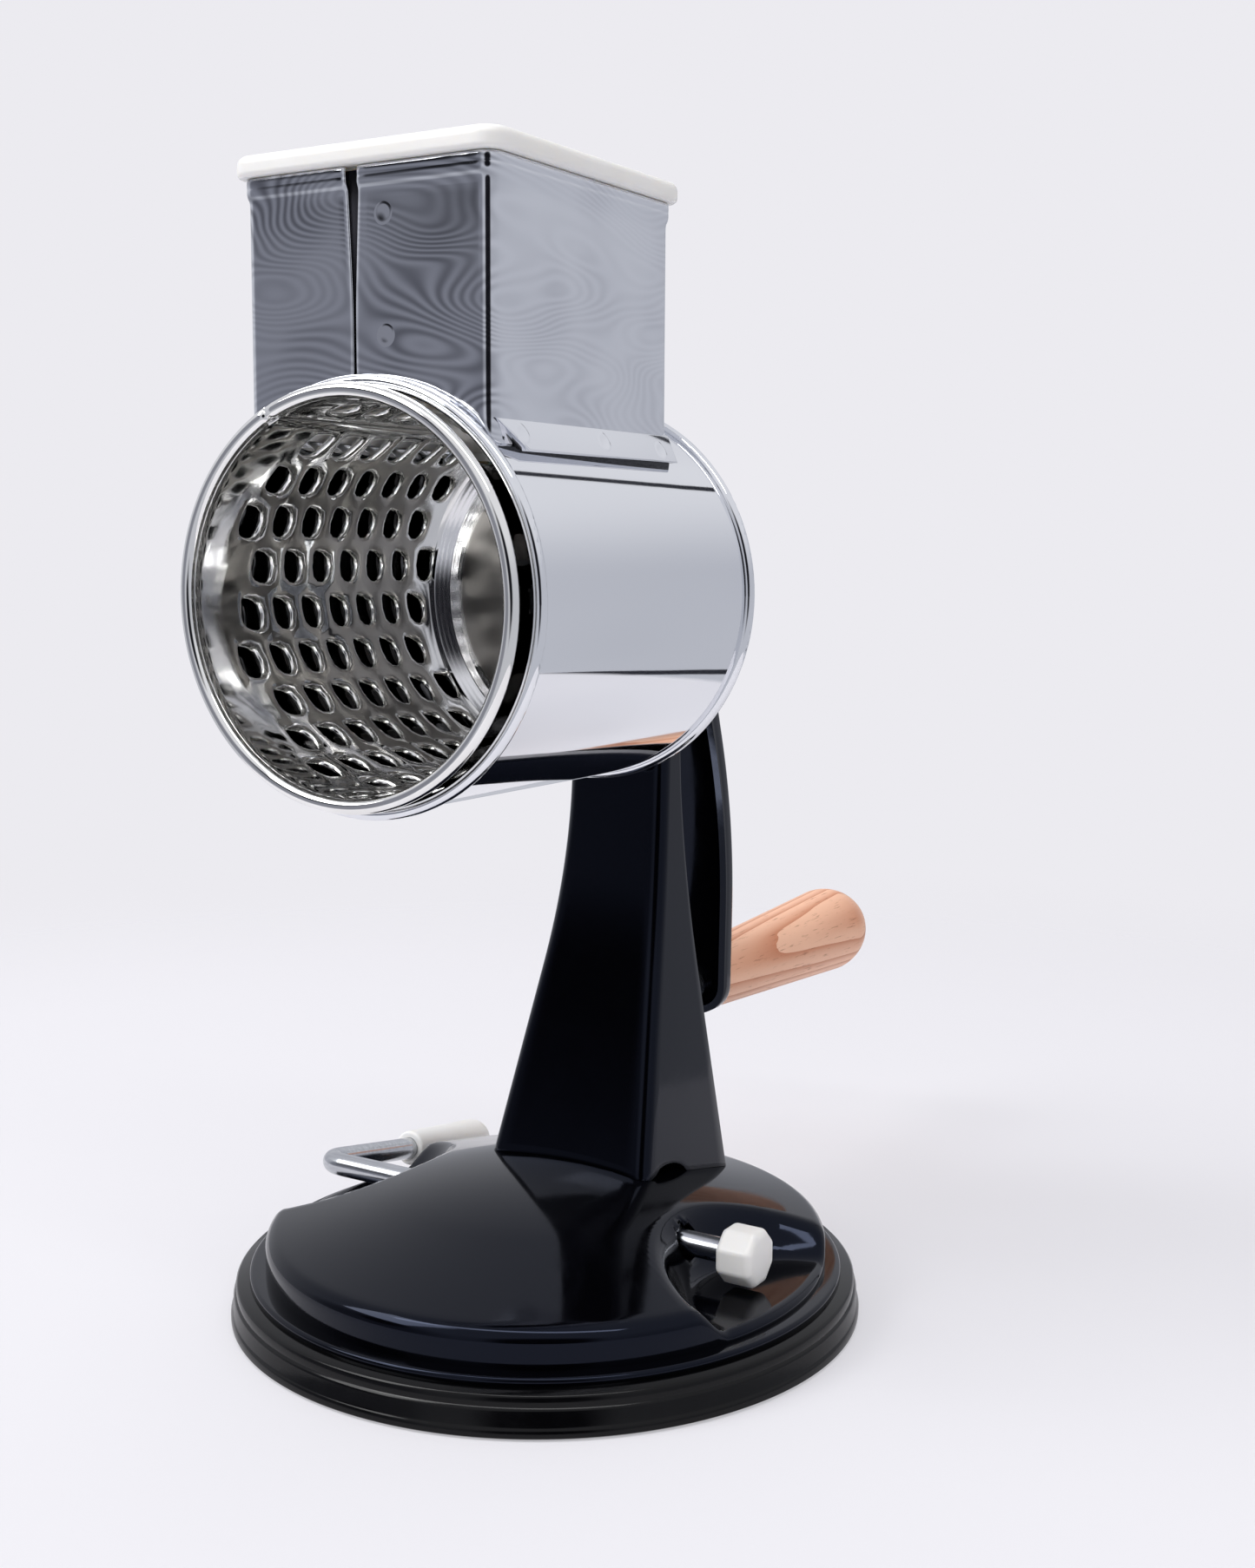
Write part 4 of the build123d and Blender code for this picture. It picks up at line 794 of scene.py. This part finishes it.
def pressColumn():
    c = columnSheet

    def squeeze(foot, z):
        return foot + (c["knee"] - foot) * (z - c["low"]) / (c["knee"] - c["low"])

    def seat(x, y, z):  # rows below the knee sit on the dome, with a half-round notch in each flange
        foot = domeHeight(x, y) + c["footGap"]
        lift = 1 - ((y - c["notchAt"]) / c["notchHalf"]) ** 2
        if lift > 0 and abs(x) > c["notchFrom"]:
            foot += c["notchHigh"] * math.sqrt(lift) * max(0.0, 1 - (z - c["low"]) / c["notchFade"])
        return squeeze(foot, z)

    def section(x, z, nx, nz):
        front = bent(z, c["face"]) + c["corner"]
        half = [(x, front + (bent(z, c["rear"]) - front) * step, z) for step in reversed(c["flangeSteps"])]
        for k in range(1, 6):
            turn = math.pi / 10 * k
            pull = c["corner"] * (1 - math.cos(turn))
            at = z - nz * pull
            half.append((x - nx * pull, bent(at, c["face"]) + c["corner"] * (1 - math.sin(turn)), at))
        edge = half[-1]
        across = [(edge[0] * (1 - k / 6), edge[1], edge[2]) for k in range(1, 12)]
        return half + across + [(-px, py, pz) for px, py, pz in reversed(half)]

    straight = c["head"] - c["crown"]
    outline = [(z, 1.0, 0.0) for z in range(c["low"], int(straight), c["rowStep"])] + [(straight, 1.0, 0.0)]
    for k in range(1, 13):
        turn = math.pi / 24 * k
        outline.append((straight + c["crown"] * math.sin(turn), math.cos(turn), math.sin(turn)))
    inner = bent(straight, c["half"]) - c["crown"]
    points = len(section(0, straight, 1, 0))  # the same in every row
    rows = []
    for z, nx, nz in outline:
        if z >= c["knee"]:
            x = bent(z, c["half"]) if nz == 0 else inner * nx + c["crown"] * nx
            rows.append([Vector(p) for p in section(x, z, nx, nz)])
            continue
        heights = [squeeze(c["firstFoot"], z)] * points
        for settle in range(c["settles"]):  # each point settles at its own height over the dome
            placed = [section(bent(h, c["half"]), h, 1, 0)[i] for i, h in enumerate(heights)]
            heights = [seat(p[0], p[1], z) for p in placed]
        rows.append([Vector(p) for p in placed])
    gridPiece("columnSheet", rows, stoveEnamel, "stand", "column", c["wall"], c["bore"])


pressColumn()

# Crank arm: a long dished strip, hub end nearer the tube than the handle end
crankSheet = {
    "rear": ((40.0, 55.6), (84.0, 55.6, 18.0), (122.0, 42.6, 17.0), (145.0, 42.6)),
    "front": ((40.0, 51.9), (84.0, 51.9, 18.0), (122.0, 38.0, 17.0), (145.0, 38.0)),
    "hubRadius": 10.0, "low": 43.8, "endHalf": 9.0, "endCorner": 6.0, "edge": 1.2, "wall": 1.4,
    "endSteps": 8, "sideSteps": 40, "hubSteps": 12,
}


def pressCrank():
    c = crankSheet
    lowZ = c["low"] + c["endCorner"]
    inX = c["endHalf"] - c["endCorner"]
    lean = math.asin((c["hubRadius"] - c["endCorner"] - inX) / (axisHeight - lowZ))
    outline = [(inX * k / 3, c["low"], 0.0, -1.0) for k in range(3)]
    for k in range(c["endSteps"] + 1):
        turn = (math.pi / 2 - lean) * k / c["endSteps"]
        outline.append((inX + c["endCorner"] * math.sin(turn), lowZ - c["endCorner"] * math.cos(turn),
                        math.sin(turn), -math.cos(turn)))
    ax, az, nx, nz = outline[-1]
    bx, bz = c["hubRadius"] * nx, axisHeight + c["hubRadius"] * nz
    for k in range(1, c["sideSteps"] + 1):
        outline.append((ax + (bx - ax) * k / c["sideSteps"], az + (bz - az) * k / c["sideSteps"], nx, nz))
    start = math.atan2(nx, -nz)
    for k in range(1, c["hubSteps"] + 1):
        turn = start + (math.pi - start) * k / c["hubSteps"]
        outline.append((c["hubRadius"] * math.sin(turn), axisHeight - c["hubRadius"] * math.cos(turn),
                        math.sin(turn), -math.cos(turn)))
    rows = []
    for x, z, nx, nz in outline:
        half = []
        for step in (0, 0.5, 1):
            front, rear = bent(z, c["front"]), bent(z, c["rear"]) - c["edge"]
            half.append((x, front + (rear - front) * step, z))
        for k in range(1, 5):
            turn = math.pi / 8 * k
            pull = c["edge"] * (1 - math.cos(turn))
            at = z - nz * pull
            half.append((x - nx * pull, bent(at, c["rear"]) - c["edge"] * (1 - math.sin(turn)), at))
        edge = half[-1]
        across = [(edge[0] * (1 - k / 4), edge[1], edge[2]) for k in range(1, 8)]
        rows.append([Vector(p) for p in half + across + [(-px, py, pz) for px, py, pz in reversed(half)]])
    gridPiece("crankSheet", rows, stoveEnamel, "rotor", "crank_arm", c["wall"])


pressCrank()
print("base, column and crank pressed")

# Suction pad: three soft tiers, spun round the middle
padRing = {
    "tiers": ((0.0, 0.0), (30.0, 0.0), (57.2, 0.0), (58.0, 0.5), (58.0, 1.5), (57.72, 1.9), (57.5, 2.15),
              (57.5, 4.6), (57.25, 5.0), (57.0, 5.2), (57.0, 6.75), (56.55, 7.2), (46.0, 7.2), (41.0, 2.2),
              (11.3, 2.2), (11.3, 4.2), (9.3, 4.2), (9.3, 2.2), (0.0, 2.2)),  # radius and height
    "steps": 180, "sharp": 50,
}


def spinPad():
    bm = bmesh.new()
    profile = [(r, 0, z) for r, z in padRing["tiers"]]
    spinProfile(bm, profile, (0, 0, 0), (0, 0, 1), padRing["steps"])
    bmesh.ops.remove_doubles(bm, verts=bm.verts, dist=0.001)
    bmesh.ops.recalc_face_normals(bm, faces=bm.faces)
    piece = newPiece("padRing", bm, mouldedRubber, "stand", "rubber", "suction_pad")
    piece.data.set_sharp_from_angle(angle=math.radians(padRing["sharp"]))


spinPad()
print("pad spun")

# Studio: pale table that fades into a pale backdrop, one key light high on the left, a greyer room
# behind the camera; lengths in metres
studio = {
    "paper": "#ecebf0", "glow": 0.5, "ambient": 0.5,
    "floorRadius": 1.2, "floorSides": 96, "floorSink": 0.00002,
    "fadeStart": 0.25, "fadeEnd": 0.5,  # where the table ends for the camera
    "edgeStart": 0.262, "edgeEnd": 0.272,  # and in reflections
    "horizon": "#c3c5cd", "sky": "#e4e5ea", "skyStart": 0.1, "skyEnd": 0.5,
    "lobes": (  # direction, cosine where the patch starts, cosine where it is full, colour
        ((-0.6, -0.78, 0.08), 0.8, 0.97, "#868892"),
        ((-0.52, -0.78, 0.35), 0.972, 0.997, "#1e1f24"),
        ((0.52, -0.83, 0.15), 0.9, 0.975, "#1c1c21"),
        ((-0.66, 0.28, 0.7), 0.55, 0.95, "#d8d9df")),
    "seams": ((0, 0.155, 0.013), (2, -0.39, 0.009)),  # dark gaps between panels: axis, place, half width
    "seam": "#2b2c33", "seamsFrom": 0.6,
    "lamps": (  # name, place, size, power, seen in reflections
        ("keyPanel", (-0.62, -0.72, 0.95), (0.7, 0.7), 8.0, True),
        ("frontStrip", (0.1, -0.5, 1.2), (1.7, 0.16), 5.5, True),
        ("topPanel", (-0.1, 0.2, 1.2), (0.9, 0.8), 3.0, False),
        ("rightPanel", (1.15, -0.2, 0.75), (0.7, 0.9), 1.2, False)),
    "lampAim": (0, -0.01, 0.1),
}


def makeFloor():
    s = studio
    bm = bmesh.new()
    bmesh.ops.create_circle(bm, cap_ends=True, segments=s["floorSides"], radius=s["floorRadius"])
    bmesh.ops.translate(bm, vec=(0, 0, -s["floorSink"]), verts=bm.verts)
    mesh = bpy.data.meshes.new("paperFloor")
    bm.to_mesh(mesh)
    bm.free()
    floor = bpy.data.objects.new("paperFloor", mesh)
    scene.collection.objects.link(floor)
    material = bpy.data.materials.new("palePaper")
    material.use_nodes = True
    tree = material.node_tree
    tree.nodes.clear()
    coords = addNode(tree, "ShaderNodeTexCoord")
    distance = addNode(tree, "ShaderNodeVectorMath", {"operation": "LENGTH"}, {0: (coords, "Object")})
    fade = addNode(tree, "ShaderNodeMapRange",
                   {"interpolation_type": "SMOOTHSTEP", "From Min": s["fadeStart"], "From Max": s["fadeEnd"]},
                   {"Value": (distance, "Value")})
    edge = addNode(tree, "ShaderNodeMapRange", {"From Min": s["edgeStart"], "From Max": s["edgeEnd"]},
                   {"Value": (distance, "Value")})
    paths = addNode(tree, "ShaderNodeLightPath")
    direct = addNode(tree, "ShaderNodeMath", {"operation": "MAXIMUM"},
                     {0: (paths, "Is Camera Ray"), 1: (paths, "Is Glossy Ray")})
    seen = addNode(tree, "ShaderNodeMath", {"operation": "MAXIMUM"},
                   {0: (direct, "Value"), 1: (paths, "Is Transmission Ray")})
    share = addNode(tree, "ShaderNodeMath", {"operation": "MULTIPLY", 1: s["glow"]}, {0: (seen, "Value")})
    paper = addNode(tree, "ShaderNodeBsdfDiffuse", {"Color": linear(s["paper"])})
    glow = addNode(tree, "ShaderNodeEmission", {"Color": linear(s["paper"]), "Strength": 1.0})
    clear = addNode(tree, "ShaderNodeBsdfTransparent")
    shown = addNode(tree, "ShaderNodeMixShader", {},
                    {0: (share, "Value"), 1: (paper, "BSDF"), 2: (glow, "Emission")})
    ends = addNode(tree, "ShaderNodeMix", {},
                   {0: (paths, "Is Glossy Ray"), 2: (fade, "Result"), 3: (edge, "Result")})
    out = addNode(tree, "ShaderNodeMixShader", {}, {0: (ends, 0), 1: (shown, "Shader"), 2: (clear, "BSDF")})
    addNode(tree, "ShaderNodeOutputMaterial", {}, {"Surface": (out, "Shader")})
    mesh.materials.append(material)


def lightWorld():
    s = studio
    world = bpy.data.worlds.new("paleStudio")
    scene.world = world
    world.use_nodes = True
    tree = world.node_tree
    tree.nodes.clear()
    coords = addNode(tree, "ShaderNodeTexCoord")
    parts = addNode(tree, "ShaderNodeSeparateXYZ", {}, {"Vector": (coords, "Generated")})
    height = addNode(tree, "ShaderNodeMapRange",
                     {"interpolation_type": "SMOOTHSTEP", "From Min": s["skyStart"], "From Max": s["skyEnd"]},
                     {"Value": (parts, "Z")})
    room = addNode(tree, "ShaderNodeMix",
                   {"data_type": "RGBA", 6: linear(s["horizon"]), 7: linear(s["sky"])},
                   {0: (height, "Result")})
    for direction, start, full, colour in s["lobes"]:
        facing = addNode(tree, "ShaderNodeVectorMath",
                         {"operation": "DOT_PRODUCT", 1: Vector(direction).normalized()},
                         {0: (coords, "Generated")})
        patch = addNode(tree, "ShaderNodeMapRange",
                        {"interpolation_type": "SMOOTHSTEP", "From Min": start, "From Max": full},
                        {"Value": (facing, "Value")})
        room = addNode(tree, "ShaderNodeMix", {"data_type": "RGBA", 7: linear(colour)},
                       {0: (patch, "Result"), 6: (room, 2)})
    behind = addNode(tree, "ShaderNodeMath", {"operation": "GREATER_THAN", 1: s["seamsFrom"]},
                     {0: (parts, "Y")})
    for axis, place, half in s["seams"]:
        gap = addNode(tree, "ShaderNodeMath", {"operation": "COMPARE", 1: place, 2: half}, {0: (parts, axis)})
        both = addNode(tree, "ShaderNodeMath", {"operation": "MULTIPLY"},
                       {0: (gap, "Value"), 1: (behind, "Value")})
        room = addNode(tree, "ShaderNodeMix", {"data_type": "RGBA", 7: linear(s["seam"])},
                       {0: (both, "Value"), 6: (room, 2)})
    soft = addNode(tree, "ShaderNodeBackground", {"Color": linear(s["paper"]), "Strength": s["ambient"]})
    mirror = addNode(tree, "ShaderNodeBackground", {"Strength": 1.0}, {"Color": (room, 2)})
    plain = addNode(tree, "ShaderNodeBackground", {"Color": linear(s["paper"]), "Strength": 1.0})
    paths = addNode(tree, "ShaderNodeLightPath")
    shine = addNode(tree, "ShaderNodeMath", {"operation": "MAXIMUM"},
                    {0: (paths, "Is Glossy Ray"), 1: (paths, "Is Transmission Ray")})
    lit = addNode(tree, "ShaderNodeMixShader", {},
                  {0: (shine, "Value"), 1: (soft, "Background"), 2: (mirror, "Background")})
    out = addNode(tree, "ShaderNodeMixShader", {},
                  {0: (paths, "Is Camera Ray"), 1: (lit, "Shader"), 2: (plain, "Background")})
    addNode(tree, "ShaderNodeOutputWorld", {}, {"Surface": (out, "Shader")})


def hangLamps():
    target = Vector(studio["lampAim"])
    for name, place, size, power, mirrored in studio["lamps"]:
        lamp = bpy.data.lights.new(name, "AREA")
        lamp.shape = "RECTANGLE"
        lamp.size, lamp.size_y = size
        lamp.energy = power
        holder = bpy.data.objects.new(name, lamp)
        holder.location = place
        holder.visible_glossy = mirrored
        holder.rotation_mode = "QUATERNION"
        holder.rotation_quaternion = (target - Vector(place)).to_track_quat("-Z", "Y")
        scene.collection.objects.link(holder)


# Camera solved from the photo: place in metres, angles in degrees, lens and frame height in millimetres
cameraView = {"place": (0.18639, -0.27896, 0.13924), "yaw": 31.26, "down": 7.204, "roll": 0.31, "lens": 42.80,
              "frameHeight": 36, "clip": (0.005, 50)}


def setCamera():
    c = cameraView
    data = bpy.data.cameras.new("photoCamera")
    data.sensor_fit = "VERTICAL"
    data.sensor_height = c["frameHeight"]
    data.lens = c["lens"]
    data.clip_start, data.clip_end = c["clip"]
    camera = bpy.data.objects.new("photoCamera", data)
    turn = Matrix.Rotation(math.radians(c["yaw"]), 4, "Z")
    turn = turn @ Matrix.Rotation(math.radians(90 - c["down"]), 4, "X")
    turn = turn @ Matrix.Rotation(math.radians(c["roll"]), 4, "Z")
    camera.matrix_world = Matrix.Translation(c["place"]) @ turn
    scene.collection.objects.link(camera)
    scene.camera = camera


makeFloor()
lightWorld()
hangLamps()
setCamera()
scene.view_settings.view_transform = "Standard"
print("studio lit")
